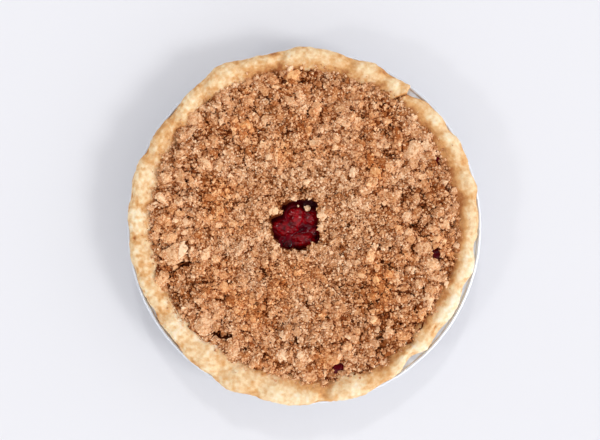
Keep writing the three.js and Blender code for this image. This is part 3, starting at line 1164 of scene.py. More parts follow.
        # Painted light and shade by azimuth, with real browning, on the outer side and the inner slope.
        level += (0.6 + 0.4 * fringe) * sum_swells(self.outer_browning_and_shading, angle)
        level += inside * sum_swells(self.inner_browning_and_shading, angle)
        # Painted shade: the fingers' dents are browner.
        level += 0.22 * sum_swells(EDGE.finger_dents, angle)
        level += self.mottling.measure(rings)
        level += self.flecks.measure(rings, self.coarseness())
        for scar in self.scars:
            level += 0.7 * scar.measure(rings[..., 0], rings[..., 1])
        away = self.seam_away(radius, angle)
        level += 0.5 * np.exp(-((away / 0.9) ** 2)) * smooth_step(30, 33, rings[..., 2])
        return np.clip(level, self.least_browned, self.most_browned)

    def build(self, pastry: Material) -> Object:
        """Makes and dresses the crust.

        Returns:
            The crust, which a few crumbs lie on.
        """
        rings = around(self.section(), self.angles)
        moved = self.relief(rings)
        crust = swept_solid("pastry_crust", moved)
        set_values(crust, Shade.BROWNED_AND_SHADED, self.browning_and_shading(rings))
        angle = np.arctan2(rings[..., 1], rings[..., 0])
        radius = np.hypot(rings[..., 0], rings[..., 1])
        from_crumbs = radius - EDGE.inner(angle)
        lip = smooth_step(30.5, 31.5, rings[..., 2]) * (from_crumbs > -3.5)
        clustered = smooth_step(-0.1, 0.5, soft_noise(rings, 12, 77))
        near = np.exp(-np.clip(from_crumbs + 0.5, 0, None) / 1.5)
        set_values(crust, Shade.FINE, lip * (0.35 + 0.65 * clustered) * near)
        leaning = np.exp(-(((from_crumbs + 1.8) / 1.7) ** 2))
        set_values(crust, Shade.COARSE, lip * (0.3 + 0.7 * clustered) * leaning)
        crust.data.materials.append(pastry)
        add_piece(crust, ("crust",))
        return crust


# ---- Filling and cherries --------------------------------------------------------


@dataclass(frozen=True)
class Cherry(Oval):
    """One cherry: its outline from above, and how high, tall and covered by dark juice it is."""

    z: float
    tall: float
    glaze: float
    seed: int

    def build(self, name: str, flesh: Material, node: str) -> None:
        """Makes a stoned, softened cherry, slack and wrinkled from baking.

        Args:
            name: the object's name.
            flesh: its material.
            node: the solid that it stands for.
        """
        points, faces = ball(6)
        slack = 0.2 * soft_noise(points * 10, 8, self.seed)
        slack += Bumps(0.1, 4.2, self.seed + 5).measure(points * 10)
        crease_at = points[:, 1] - 0.25 * np.sin(2.2 * points[:, 0] + self.seed)
        crease = -0.1 * np.exp(-((crease_at / 0.16) ** 2)) * smooth_step(0.1, 0.7, points[:, 2])
        shaped = points * (1 + slack + crease)[:, None] * np.array([self.long, self.wide, self.tall])
        placed = turned(shaped, self.turn) + (self.x, self.y, self.z)
        cherry = make_mesh(name, placed, [faces])
        low = 1 - smooth_step(28.4, 30.6, placed[:, 2])
        set_values(cherry, Shade.GLAZE, np.clip(self.glaze + 0.8 * low, 0, 1))
        cherry.data.materials.append(flesh)
        add_piece(cherry, (node,))


@dataclass
class CherryFilling:
    """The set cherry jelly and the six cherries that show in the hole."""

    bottom: float = 5.2
    bottom_radius: float = 85.8
    top: float = 26.8
    well_x: float = -6.0
    well_y: float = 1.2
    well_radius: float = 25.0
    cling: float = 3.0  # how far the jelly climbs a cherry
    reach: float = 2.4  # how far from a cherry it does
    curls_x: float = 1.5  # where the jelly lies in shining curls
    curls_y: float = -1.5
    curls_radius: float = 6.0
    crumpling: Bumps = Bumps(1.0, 4.0, 81, 4)
    columns: int = 360
    cherries: tuple[Cherry, ...] = listed(
        Cherry, (-13.6, -0.8, 9.4, 6.0, -8, 27.6, 5.2, 0.1, 3),
        (-6.6, 7.4, 7.0, 8.2, 12, 28.0, 5.2, 0.0, 14), (3.2, 6.0, 7.0, 6.2, -15, 27.9, 5.2, 0.05, 22),
        (-0.2, -9.0, 9.2, 5.6, 5, 28.2, 5.0, 0.0, 31), (6.8, -3.6, 5.6, 5.4, 40, 27.2, 5.0, 0.3, 47),
        (-12.2, -10.2, 6.2, 5.4, 30, 26.2, 5.0, 0.75, 58),
    )

    def climb(self, x: np.ndarray, y: np.ndarray) -> np.ndarray:
        """1 against a cherry, falling to 0 away from them all."""
        climb = np.zeros(x.shape)
        for cherry in self.cherries:
            width = (cherry.long + cherry.wide) / 2
            outside = np.clip(cherry.away(x, y) - 0.85, 0, None) * width
            climb = np.maximum(climb, np.exp(-((outside / self.reach) ** 2)))
        return climb

    def surface(self, x: np.ndarray, y: np.ndarray) -> np.ndarray:
        """Height of the jelly, which climbs the cherries and is crumpled between them."""
        in_well = 1 - smooth_step(20, 25, np.hypot(x - self.well_x, y - self.well_y))
        crumpled = np.exp(-(((x - self.curls_x) ** 2 + (y - self.curls_y) ** 2) / self.curls_radius**2))
        ripples = self.crumpling.measure(on_the_flat(x, y), 0.4 + 0.5 * crumpled) * in_well
        return self.top + self.cling * self.climb(x, y) + ripples + 0.5 * in_well

    def build(self, jelly: Material, flesh: Material) -> None:
        """Makes and dresses the jelly and the cherries."""
        angles = full_turn(self.columns)
        foot = EDGE.foot(angles)
        corners = [
            corner_at(angles, 10, self.bottom), corner_at(angles, self.bottom_radius, self.bottom),
            corner_at(angles, foot - 0.8, self.top - 0.6), corner_at(angles, foot - 1.2, self.top),
        ]
        body = around(rounded_line(np.array(corners), [3, 6, 1], 0), angles)
        well = np.array([self.well_x, self.well_y, self.top])
        well_edge = around(corner_at(angles, self.well_radius, 0.0)[None], angles) + well
        share = np.linspace(0, 1, 7)[1:, None, None]
        shelf = body[-1:] * (1 - share) + well_edge * share
        reach = np.linspace(self.well_radius, 0.4, 74)[1:, None]
        floor = around(corner_at(angles, reach, 0 * reach), angles)
        rings = np.concatenate([body, shelf, floor + well])
        on_top = slice(len(body), None)
        rings[on_top, :, 2] = self.surface(rings[on_top, :, 0], rings[on_top, :, 1])
        filling = swept_solid("cherry_jelly", rings)
        away = 1 - self.climb(rings[..., 0], rings[..., 1])
        set_values(filling, Shade.GLAZE, smooth_step(0.2, 1.0, away))
        filling.data.materials.append(jelly)
        add_piece(filling, ("filling",))
        for number, cherry in enumerate(self.cherries, start=1):
            cherry.build(f"glazed_cherry_{number}", flesh, f"cherry_{number}")


# ---- Crumb topping ---------------------------------------------------------------


@dataclass(frozen=True)
class Clump:
    """A big lump of topping: place, length, breadth, turn, tilt, browning and tone."""

    x: float
    y: float
    long: float
    wide: float
    turn: float = 0.0
    tilt: float = 0.0  # degrees, its far end up
    toast: float = 0.15
    tone: float = 0.5
    lift: float = 0.12  # share of its height that it stands proud
    drop: float = 0.0  # how far below the topping's surface it lies


BIG_CLUMPS = listed(
    Clump, (-89.8, -19.3, 17.5, 13, 28, 9, 0.25, 0.5, 0.26),
    # The second clump is the palest and stands highest: a painted highlight for the first one's lit facet.
    (-83.2, -16.4, 14.5, 6.4, 76, 0, 0.0, 1.0, 1.0), (74.8, 50.9, 17, 13, 75, 6, 0.1, 0.55),
    (-67.6, -66.4, 16, 13, 50, 5, 0.15, 0.5), (-75.2, 73.6, 12, 11, 0, 8, 0.2, 0.45),
    (81.7, -13.8, 12, 11, 30, -8, 0.15, 0.45), (84.4, -50.2, 12, 9, 70, 10, 0.15, 0.6),
    (-7.8, 103.2, 11, 8.5, 10, 6, 0.9, 0.6, 0.25), (-97, -35, 10.5, 9, 60, 6, 0.35, 0.5, 0.2),
    (-48, -87, 10.5, 9, 30, 4, 0.1, 0.5), (89.2, -34.4, 10, 5.5, -10, 4, 0.2, 0.6),
    (-91.5, -7.5, 11, 8.5, 10, 6, 0.55, 0.6, 0.25), (67.9, -74.3, 10, 7.5, 0, -6, 0.55, 0.35, 0.2),
    (87.0, 50.4, 10.5, 6, 85, 5, 0.1, 0.65, 0.2), (-20.8, 11.2, 7.5, 5.5, 10, 5, 0.35, 0.75, 0.3),
    (-102, -6.5, 7, 6, 5, 4, 0.3, 0.4), (75.5, 75.0, 5.8, 4.6, 80, 5, 0.1, 0.7, 0.25),
    (72.7, 68.1, 8, 4.2, 10, 5, 0.1, 0.65, 0.25), (85.4, 60.9, 7.6, 5, 80, 5, 0.1, 0.7, 0.2),
    (97.2, -38.5, 4.6, 3.6, 80, 0, 0.1, 0.8, 0.3), (85.4, -55.8, 5, 3.6, 10, 0, 0.1, 0.8, 0.3),
    (79.9, -60.2, 9, 5.2, 80, 5, 0.7, 0.5, 0.25), (-15.3, -88.1, 8.4, 8, 20, 6, 0.05, 0.75, 0.2),
    (-1.9, -88.1, 9, 8, 0, -6, 0.1, 0.7, 0.2), (18.7, -90.4, 9.5, 8.6, 10, 8, 0.7, 0.5, 0.25),
    (3.9, -102.4, 9.6, 8, 0, 5, 0.4, 0.45, 0.2), (1.9, 30.3, 5.6, 5, 0, 0, 0.15, 0.7, 0.3),
    (12.2, 31.6, 5, 4.6, 30, 0, 0.15, 0.7, 0.3), (12.6, 8.4, 8.4, 6.4, 60, 0, 0.1, 0.66, 0.25),
    (11.4, -0.2, 6.4, 4.2, 80, 0, 0.1, 0.62, 0.25), (2.2, 12.9, 5.0, 4.4, 20, 8, 0.1, 0.75, 0.3, 6.4),
    (-4.2, 14.6, 2.2, 1.8, 80, 0, 0.1, 0.6, 0.3, 6.6),
)


@dataclass(frozen=True)
class Pit(Oval):
    """An opening between the crumbs, and whether juice shows in it."""

    juicy: bool = False


@dataclass
class CrumbTopping:
    """The crumb layer's fused body: a low dome with a ragged hole, split by cracks."""

    lowest: float = 27.2
    dome_height: float = 37.4
    edge_height: float = 34.3
    hole_x: float = -6.0
    hole_y: float = 1.2
    hole_radius: float = 16.8
    edge_gap: float = 0.8  # how far the crumbs end from the pastry, on average
    straggling: Bumps = Bumps(4.0, 11, 201)  # how far they go on from there, or fall short
    tumble_run: float = 4.0  # over which they come down to the pastry where they fall short
    pastry_slope: float = 1.3  # how steeply the pastry falls there
    pastry_rise: float = 1.15  # how steeply they climb it where they straggle on
    pit_drop: float = 5.4  # how deep the openings between the crumbs are
    juice_depth: float = 3.6  # how far below the dome the juice stands in them
    packing: tuple[Lumps, ...] = listed(Lumps, (13, 3.6, 101), (6.6, 3.0, 111), (3.4, 1.8, 121))
    smallest_coarse: float = 4.0  # lumps above this size are flatter in the pie's middle
    bend_across: Bumps = Bumps(2.8, 5.5, 5)  # how far the lumps' outlines stray
    bend_along: Bumps = Bumps(2.8, 5.5, 6)
    ragged_pits: Bumps = Bumps(0.5, 3.6, 131, 2)
    toast_patches: Bumps = Bumps(0.65, 13, 141)
    hole_crumble: Bumps = Bumps(0.9, 3.2, 161)
    tone_zones: Bumps = Bumps(0.5, 22, 191, 4)
    columns: int = 760
    rings: int = 116
    hole_swells: tuple[Swell, ...] = listed(
        Swell, (55, 20, 4.2), (142, 14, -4.6), (-36, 14, 2.3), (4, 12, -2.0), (237, 8, 1.6), (280, 6, 0.8)
    )
    pits: tuple[Pit, ...] = listed(
        Pit, (92.2, 48.0, 5.8, 4.6, 130, True), (90.8, -18.6, 4.2, 3.2, 110, True),
        (94.0, -28.8, 2.8, 2.0, 0, True), (22.8, -96.6, 5.6, 4.4, 40, True), (30.4, -99.2, 2.6, 1.4, -20),
        (-60.2, -73.6, 4.2, 2.9, -25), (-54.2, -75.4, 5.0, 2.8, 5), (-48.6, -74.4, 3.2, 2.3, 20),
        (-80.6, -26.2, 4.4, 2.2, 15), (-83.6, -23.2, 2.0, 1.6, 50), (-89.8, -29.8, 2.4, 1.6, 0),
        (-99.5, -13.0, 2.6, 2.0, 60), (-96.0, -15.0, 2.2, 1.4, 0), (83.4, -8.2, 3.0, 1.5, 0),
        (84.8, -44.2, 2.2, 1.4, 0), (68.6, 71.2, 3.6, 1.5, 75), (-41.0, -84.0, 1.9, 1.5, 0),
        (82, 22, 2.2, 1.4, 30),
    )
    toasted: tuple[Spot, ...] = listed(
        Spot, (-40, 92, 9), (-10, 103, 11), (-28, 60, 10), (-41, 68, 7), (-14, 48, 8), (-56, 14, 12),
        (-62, 28, 8), (9, 94, 7), (55, 75, 7), (36, 71, 10), (47, 45, 10), (52, 36, 7), (-67, -44, 8),
        (-48, -49, 10), (-20, -39, 9), (-5, -27, 7), (47, -22, 10), (72, -20, 7), (56, -45, 12),
        (16, -88, 9), (80, -61, 9), (51, -99, 7), (-30, -62, 9), (10, -60, 9), (0, 75, 10), (20, 55, 8),
    )

    def outer_edge(self, angle: np.ndarray) -> np.ndarray:
        """Radius at which the crumbs end."""
        inner = EDGE.inner(angle)
        line = on_the_flat(inner * np.cos(angle), inner * np.sin(angle))
        return inner - self.edge_gap + self.straggling.measure(line)

    def hole_edge(self, angle: np.ndarray) -> np.ndarray:
        """Radius of the hole round its own middle."""
        ragged = 0.5 * np.sin(9 * angle + 0.5) + 0.4 * np.sin(17 * angle + 2)
        return self.hole_radius + sum_swells(self.hole_swells, angle) + ragged

    def dome(self, x: np.ndarray, y: np.ndarray) -> np.ndarray:
        """Height of the dome without its lumps."""
        fall = np.minimum(1, np.hypot(x, y) / EDGE.inner_reach) ** 2.4
        hollows = 0.5 * np.sin(x / 13 + 0.7) * np.cos(y / 16 - 0.4) + 0.3 * np.sin((x - y) / 9)
        return blend(self.dome_height, self.edge_height, fall) + hollows * (1 - fall)

    def lumps(self, x: np.ndarray, y: np.ndarray) -> tuple[np.ndarray, np.ndarray, np.ndarray]:
        """Packs fused lumps of three sizes over the dome, the coarser ones flatter in its middle.

        Args:
            x: millimetres.
            y: millimetres.

        Returns:
            Height over the dome, depth of hollow that the finish paints as shade, and tone of each place.
        """
        flat = on_the_flat(x, y)
        bend_x = x + self.bend_across.measure(flat)
        bend_y = y + self.bend_along.measure(flat + 50)
        toward_edge = smooth_step(30, 95, np.hypot(x, y))
        opened = smooth_step(-0.5, 0.5, soft_noise(flat, 17, 7))
        height, hollow, tone = (np.zeros(x.shape) for _ in range(3))
        for lumps in self.packing:
            up, crack, number = lumps.measure(bend_x, bend_y)
            coarse = lumps.size > self.smallest_coarse
            share = blend(0.32, 1.1, toward_edge) if coarse else 1
            gap = crack * (blend(0.35, 1, opened) if coarse else 0.8)
            height += lumps.relief * share * (0.4 + 1.2 * number) * (up - 0.75) - 0.5 * lumps.relief * gap
            # Painted shade: the cracks and the low sides of each lump are darker.
            hollow += 0.2 * gap + 0.7 * np.clip(0.62 - up, 0, 1)
            tone += number / 3
        grit = rough_noise(flat, 2.4, 151, 3)
        height += 0.65 * grit
        # Painted shade: the lower grit is darker and the higher grit paler.
        hollow -= 0.36 * grit
        return height, hollow, tone

    def pit_depth(self, x: np.ndarray, y: np.ndarray) -> np.ndarray:
        """1 at the bottom of the openings between the crumbs, 0 away from them."""
        ragged = 1 + self.ragged_pits.measure(on_the_flat(x, y))
        depth = np.zeros(x.shape)
        for pit in self.pits:
            depth = np.maximum(depth, 1 - smooth_step(0.75, 1.25, pit.away(x, y) * ragged))
        return depth

    def toast(self, x: np.ndarray, y: np.ndarray) -> np.ndarray:
        """How far each place is toasted, 0 to 1."""
        level = sum(spot.measure(x, y) for spot in self.toasted)
        return np.clip(0.16 + 0.5 * level + self.toast_patches.measure(on_the_flat(x, y)), 0, 1)

    def rings_of_points(self) -> tuple[np.ndarray, slice]:
        """Lays out the whole body without its lumps.

        Returns:
            Its points (ring, azimuth, 3), and which of the rings are its top.
        """
        angles = full_turn(self.columns)

        def at_edge(radius: np.ndarray, height: float) -> np.ndarray:
            """A ring round the pie's middle."""
            return around(corner_at(angles, radius, height), angles)

        def at_hole(away: float, height: float) -> np.ndarray:
            """A ring round the hole."""
            radius = self.hole_edge(angles) + away
            return at_edge(radius, height) + (self.hole_x, self.hole_y, 0)

        inner = EDGE.inner(angles)
        side = [at_edge(EDGE.foot(angles) - 0.9, self.lowest), at_edge(inner - 0.8, self.lowest + 3)]
        share = np.linspace(0, 1, self.rings)[:, None, None]
        top = at_edge(self.outer_edge(angles), 0) * (1 - share) + at_hole(1.0, 0) * share
        lip_height = self.dome_height - 0.9
        wall = [
            at_hole(0.9 - 1.6 * math.sin(2.2 * step) + 0.4, blend(lip_height, self.lowest, step**0.9))
            for step in np.linspace(0, 1, 12)
        ]
        return np.concatenate([side, top, wall]), slice(2, 2 + self.rings)

    def shade(
        self, body: Object, rings: np.ndarray, top: slice, lumps: tuple[np.ndarray, ...], pit: np.ndarray
    ) -> None:
        """Gives the body its tones and its painted shade, and says where each size of crumb may lie on it.

        Args:
            body: the finished mesh.
            rings: its points (ring, azimuth, 3).
            top: which of the rings are its top.
            lumps: what the fused lumps give each point.
            pit: how far down an opening each point lies.
        """
        x, y = rings[..., 0], rings[..., 1]
        height, hollow, tone = lumps
        on_top = np.zeros(x.shape)
        on_top[top] = 1
        around_hole = np.arctan2(y - self.hole_y, x - self.hole_x)
        from_hole = np.hypot(x - self.hole_x, y - self.hole_y) - self.hole_edge(around_hole)
        from_pastry = EDGE.inner(np.arctan2(y, x)) - np.hypot(x, y)
        clear = on_top * (1 - smooth_step(0.02, 0.3, pit))
        open_cracks = 1 - 0.75 * smooth_step(0.3, 0.8, hollow)
        for clump in BIG_CLUMPS:
            clear *= np.hypot(x - clump.x, y - clump.y) > 0.36 * (clump.long + clump.wide) / 2
        toward_edge = smooth_step(20, 92, np.hypot(x, y))
        # Painted shade: darker in the hollows, toward the edge and on the side and hole walls; the pits
        # darkest.
        painted_sunk_shade = np.clip(0.36 + 0.16 * toward_edge + 0.9 * hollow, 0, 1) * on_top + 0.75 * (1 - on_top)
        zones = self.tone_zones.measure(on_the_flat(x, y))
        # Higher places are painted a little paler: painted light.
        set_values(body, Shade.TONE, np.clip(tone + zones + 0.1 * height, 0, 1))
        set_values(body, Shade.TOAST, self.toast(x, y))
        set_values(body, Shade.HOLLOW_SHADE, np.maximum(painted_sunk_shade, pit))
        coarse = clear * (0.08 + 0.92 * toward_edge**2)
        set_values(body, Shade.COARSE, coarse * (from_hole > 3.4) * (from_pastry > 3.0))
        set_values(body, Shade.MIDDLE, clear * open_cracks * (from_hole > 1.6) * (from_pastry > 1.4))
        sandy = (1 - 0.7 * toward_edge) * (1 - smooth_step(0.05, 0.35, pit))
        set_values(body, Shade.FINE, on_top * open_cracks * sandy * (from_hole > 0.4))

    def build(self, streusel: Material) -> Object:
        """Makes and dresses the fused body.

        Returns:
            The body, which the loose crumbs lie on.
        """
        rings, top = self.rings_of_points()
        x, y = rings[..., 0], rings[..., 1]
        lumps = self.lumps(x, y)
        pit = self.pit_depth(x, y)
        around_pie = np.arctan2(y, x)
        over_pastry = np.hypot(x, y) - EDGE.inner(around_pie)
        within = np.clip(self.outer_edge(around_pie) - np.hypot(x, y), 0, None)
        tumbled = np.clip(1 - within / self.tumble_run, 0, 1) ** 1.6
        fallen = np.clip(-over_pastry, 0, None) * self.pastry_slope * tumbled
        raised = self.dome(x, y) + lumps[0] - fallen + self.pastry_rise * np.clip(over_pastry, 0, None)
        rings[top, :, 2] = (raised - self.pit_drop * pit)[top]
        wall = slice(top.stop, None)
        crumbly = self.hole_crumble.measure(rings[wall])[..., None] / 17
        rings[wall, :, :2] += crumbly * (rings[wall, :, :2] - (self.hole_x, self.hole_y))
        count, columns = rings.shape[:2]
        body = make_mesh("crumb_body", rings.reshape(-1, 3), [ring_faces(count, columns, loop=True)])
        self.shade(body, rings, top, lumps, pit)
        body.data.materials.append(streusel)
        add_piece(body, ("crumb_topping",))
        return body

    def build_juice(self, jelly: Material) -> None:
        """Makes the dark juice that stands in the openings, as one mesh of low drops."""
        points, faces = ball(4)
        parts = []
        for number, pit in enumerate(self.pits):
            if pit.juicy:
                bumpy = 1 + Bumps(0.22, 7, 171 + number).measure(points * 10)
                drop = points * bumpy[:, None] * np.array([pit.long * 1.1, pit.wide * 1.1, 1.7])
                height = float(self.dome(np.array(pit.x), np.array(pit.y))) - self.juice_depth
                parts.append(turned(drop, pit.turn) + (pit.x, pit.y, height))
        numbers = [faces + number * len(points) for number in range(len(parts))]
        juice = make_mesh("juice_in_the_pits", np.concatenate(parts), [np.concatenate(numbers)])
        set_values(juice, Shade.GLAZE, np.zeros(len(juice.data.vertices)))
        juice.data.materials.append(jelly)
        add_piece(juice)


@dataclass
class LumpMaker:
    """Makes the big clumps one by one, each with broken facets and a sandy skin."""

    topping: CrumbTopping
    seed: int = 7
    side_lumps: int = 4
    side_reach: float = 0.62  # how far out the side lumps sit, as a share of the clump
    facets: int = 10
    least_cut: float = 0.55  # how near its middle a facet may cut a lump
    unevenness: Bumps = Bumps(0.22, 3, 181, 2)  # of the clumps' tones
    sandiness: float = 0.2  # how thickly the finest grains lie on a clump

    def broken_lump(self, half: np.ndarray, detail: int, random: np.random.Generator) -> np.ndarray:
        """Makes one lump with flat facets and a sandy skin, round the origin.

        Args:
            half: its half sizes.
            detail: fineness of the ball that it starts from.
            random: source of its facets and its grain.

        Returns:
            Its points, in the ball's order.
        """
        points, _ = ball(detail)
        shaped = craggy(points, random, self.facets, self.least_cut) * half
        rough = min(1.0, half.min() / 3)
        sandy = Bumps(0.5, 3.8, int(random.integers(1000))).measure(shaped, rough)
        sandy += Bumps(0.2, 1.5, int(random.integers(1000)), 2).measure(shaped, rough)
        return shaped + points * sandy[:, None]

    def shape(self, clump: Clump, random: np.random.Generator) -> tuple[np.ndarray, np.ndarray]:
        """Shapes one clump and puts it in place: a main lump with smaller ones stuck to it.

        Args:
            clump: its place and sizes.
            random: source of its lumps.

        Returns:
            Its points, and its triangles as point numbers.
        """
        half = np.array([clump.long / 2, clump.wide / 2, min(4.2, 0.36 * clump.wide)])
        detail = 5 if clump.long > 9 else 4
        lumps = [self.broken_lump(half * 0.94, detail, random)]
        triangles = [ball(detail)[1]]
        start = len(lumps[0])
        sides = self.side_lumps if clump.long > 7 else 2 if clump.long > 5.2 else 0
        for side in range(sides):
            share = random.uniform(0.42, 0.62)
            bearing = 2 * math.pi * (side + random.uniform(0.2, 0.8)) / self.side_lumps
            offset = np.array([math.cos(bearing), math.sin(bearing), random.uniform(-0.25, 0.1)])
            lump = self.broken_lump(half * share, detail - 1, random)
            lumps.append(lump + offset * half * self.side_reach)
            triangles.append(ball(detail - 1)[1] + start)
            start += len(lumps[-1])
        leaning = turned(np.concatenate(lumps), clump.tilt, toward=2)
        floor = float(self.topping.dome(np.array(clump.x), np.array(clump.y)))
        height = floor + 2 * clump.lift * half[2] - clump.drop
        return turned(leaning, clump.turn) + (clump.x, clump.y, height), np.concatenate(triangles)

    def build(self, streusel: Material) -> Object:
        """Makes all the clumps as one mesh.

        Returns:
            The clumps, which the finest grains also lie on.
        """
        random = np.random.default_rng(self.seed)
        points, faces, tones, toasts = [], [], [], []
        start = 0
        for clump in BIG_CLUMPS:
            placed, triangles = self.shape(clump, random)
            points.append(placed)
            faces.append(triangles + start)
            tones.append(np.full(len(placed), clump.tone))
            toasts.append(np.full(len(placed), clump.toast))
            start += len(placed)
        everything = np.concatenate(points)
        clumps = make_mesh("big_clumps", everything, [np.concatenate(faces)])
        uneven = self.unevenness.measure(everything)
        set_values(clumps, Shade.TONE, np.clip(np.concatenate(tones) + uneven, 0, 1))
        set_values(clumps, Shade.TOAST, np.clip(np.concatenate(toasts) + uneven, 0, 1))
        set_values(clumps, Shade.FINE, np.full(start, self.sandiness))
        clumps.data.materials.append(streusel)
        add_piece(clumps)
        return clumps


@dataclass(frozen=True)
class CrumbKind:
    """One size of loose crumb and how it is strewn."""

    name: str
    smallest: float
    largest: float
    crowd: float  # crumbs on each square millimetre, where they may lie
    room: Shade
    corners: int
    sink: float  # share of its size that lies below the surface
    seed: int
    skew: float  # above 1 makes small ones the more common
    sandiness: float = 0.18  # how thickly the finer grains lie on it


@dataclass
class CrumbScatter:
    """Strews crumbs over the topping with Geometry Nodes, each kind over those before it."""

    variants: int = 6
    own_tone: float = 0.62  # how much of a crumb's tone is its own
    shared_tone: float = 0.42  # and how much it takes from what it lies on
    shared_hollow_shade: float = 0.72  # how much of the painted shade of what it lies on it shares
    proud: float = 0.16  # painted light: less this much shade, as it stands out

    def crumb_shapes(self, kind: CrumbKind) -> Collection:
        """Breaks a few shapes for one kind.

        Args:
            kind: the kind of crumb, which gives their number of corners and their seed.

        Returns:
            A collection of shapes about 1 metre across, which the tree scales down.
        """
        shapes = bpy.data.collections.new(kind.name + "_shapes")
        random = np.random.default_rng(kind.seed)
        for number in range(self.variants):
            thrown = random.normal(size=(kind.corners, 3))
            reach = random.uniform(0.8, 1.15, kind.corners) / np.linalg.norm(thrown, axis=1)
            corners, faces = wrapped(thrown * reach[:, None])
            stretched = corners * random.uniform(0.7, 1.3, 3)
            shape = make_mesh(f"{kind.name}_shape_{number}", stretched * 0.5 / MM, [faces])
            shape.data.shade_flat()
            bpy.context.scene.collection.objects.unlink(shape)
            shapes.objects.link(shape)
        return shapes

    def strew_points(self, tree: NodeTree, given: NodeOutputs) -> Node:
        """Strews points over the ground and the earlier crumbs, where they face up.

        Args:
            tree: the tree that strews.
            given: the tree's inputs.

        Returns:
            The node that strews them.
        """
        earlier = add_node(tree, "GeometryNodeCollectionInfo", {"Collection": given["Earlier crumbs"]})
        solid = add_node(tree, "GeometryNodeRealizeInstances", {"Geometry": earlier.outputs["Instances"]})
        ground = add_node(tree, "GeometryNodeJoinGeometry")
        tree.links.new(given["Surface"], ground.inputs["Geometry"])
        tree.links.new(solid.outputs["Geometry"], ground.inputs["Geometry"])
        normal = add_node(tree, "GeometryNodeInputNormal").outputs["Normal"]
        facing = add_node(tree, "ShaderNodeSeparateXYZ", {0: normal})
        upward = add_node(
            tree, "FunctionNodeCompare", {0: facing.outputs["Z"], 1: 0.1}, operation="GREATER_THAN"
        )
        room = add_node(
            tree, "GeometryNodeInputNamedAttribute", {"Name": given["Room"]}, data_type="FLOAT"
        )
        density = add_node(
            tree, "ShaderNodeMath", {0: room.outputs["Attribute"], 1: given["Most per area"]},
            operation="MULTIPLY",
        )
        return add_node(
            tree, "GeometryNodeDistributePointsOnFaces",
            {
                "Mesh": ground.outputs["Geometry"], "Selection": upward.outputs["Result"],
                "Density": density.outputs["Value"], "Seed": given["Seed"],
            },
            distribute_method="RANDOM",
        )

    def shade_points(self, tree: NodeTree, given: NodeOutputs, points: NodeSocket) -> NodeSocket:
        """Gives every point its crumb's size, tone, toasting and painted shade from its depth between its
        neighbours.

        Args:
            tree: the tree that strews.
            given: the tree's inputs.
            points: the bare points.

        Returns:
            The points with their values.
        """
        chance = add_node(tree, "FunctionNodeRandomValue", {RANDOM_SEED: given["Seed"]}, data_type="FLOAT")
        skewed = add_node(
            tree, "ShaderNodeMath", {0: chance.outputs[RANDOM_RESULT], 1: given["Skew"]},
            operation="POWER",
        )
        size = add_node(
            tree, "ShaderNodeMapRange",
            {"Value": skewed.outputs["Value"], "To Min": given["Smallest"], "To Max": given["Largest"]},
        )
        own = {
            name: add_node(
                tree, "GeometryNodeInputNamedAttribute", {"Name": name}, data_type="FLOAT"
            ).outputs["Attribute"]
            for name in (Shade.TONE.value, Shade.TOAST.value, Shade.HOLLOW_SHADE.value)
        }
        # A crumb's tone is mostly its own and partly that of what it lies on.
        own_tone = add_node(
            tree, "FunctionNodeRandomValue", {RANDOM_LOW: 0.0, RANDOM_HIGH: 1.0, RANDOM_SEED: 77},
            data_type="FLOAT",
        )
        shared_tone = add_node(
            tree, "ShaderNodeMath", {0: own[Shade.TONE.value], 1: self.shared_tone}, operation="MULTIPLY"
        )
        tone = add_node(
            tree, "ShaderNodeMath",
            {0: own_tone.outputs[RANDOM_RESULT], 1: self.own_tone, 2: shared_tone.outputs["Value"]},
            operation="MULTIPLY_ADD",
        )
        toasting = add_node(
            tree, "FunctionNodeRandomValue", {RANDOM_LOW: 0.7, RANDOM_HIGH: 1.3, RANDOM_SEED: 78},
            data_type="FLOAT",
        )
        toast = add_node(
            tree, "ShaderNodeMath", {0: own[Shade.TOAST.value], 1: toasting.outputs[RANDOM_RESULT]},
            operation="MULTIPLY",
        )
        # Painted shade: a crumb shares the darkening of what it lies on, less where it stands out.
        hollow = add_node(
            tree, "ShaderNodeMath", {0: own[Shade.HOLLOW_SHADE.value], 1: self.shared_hollow_shade, 2: -self.proud},
            operation="MULTIPLY_ADD", use_clamp=True,
        )
        stored = {
            SIZE: size.outputs["Result"], Shade.TONE.value: tone.outputs["Value"],
            Shade.TOAST.value: toast.outputs["Value"], Shade.HOLLOW_SHADE.value: hollow.outputs["Value"],
        }
        for name, value in stored.items():
            points = add_node(
                tree, "GeometryNodeStoreNamedAttribute",
                {"Geometry": points, "Name": name, "Value": value}, data_type="FLOAT", domain="POINT",
            ).outputs["Geometry"]
        return points

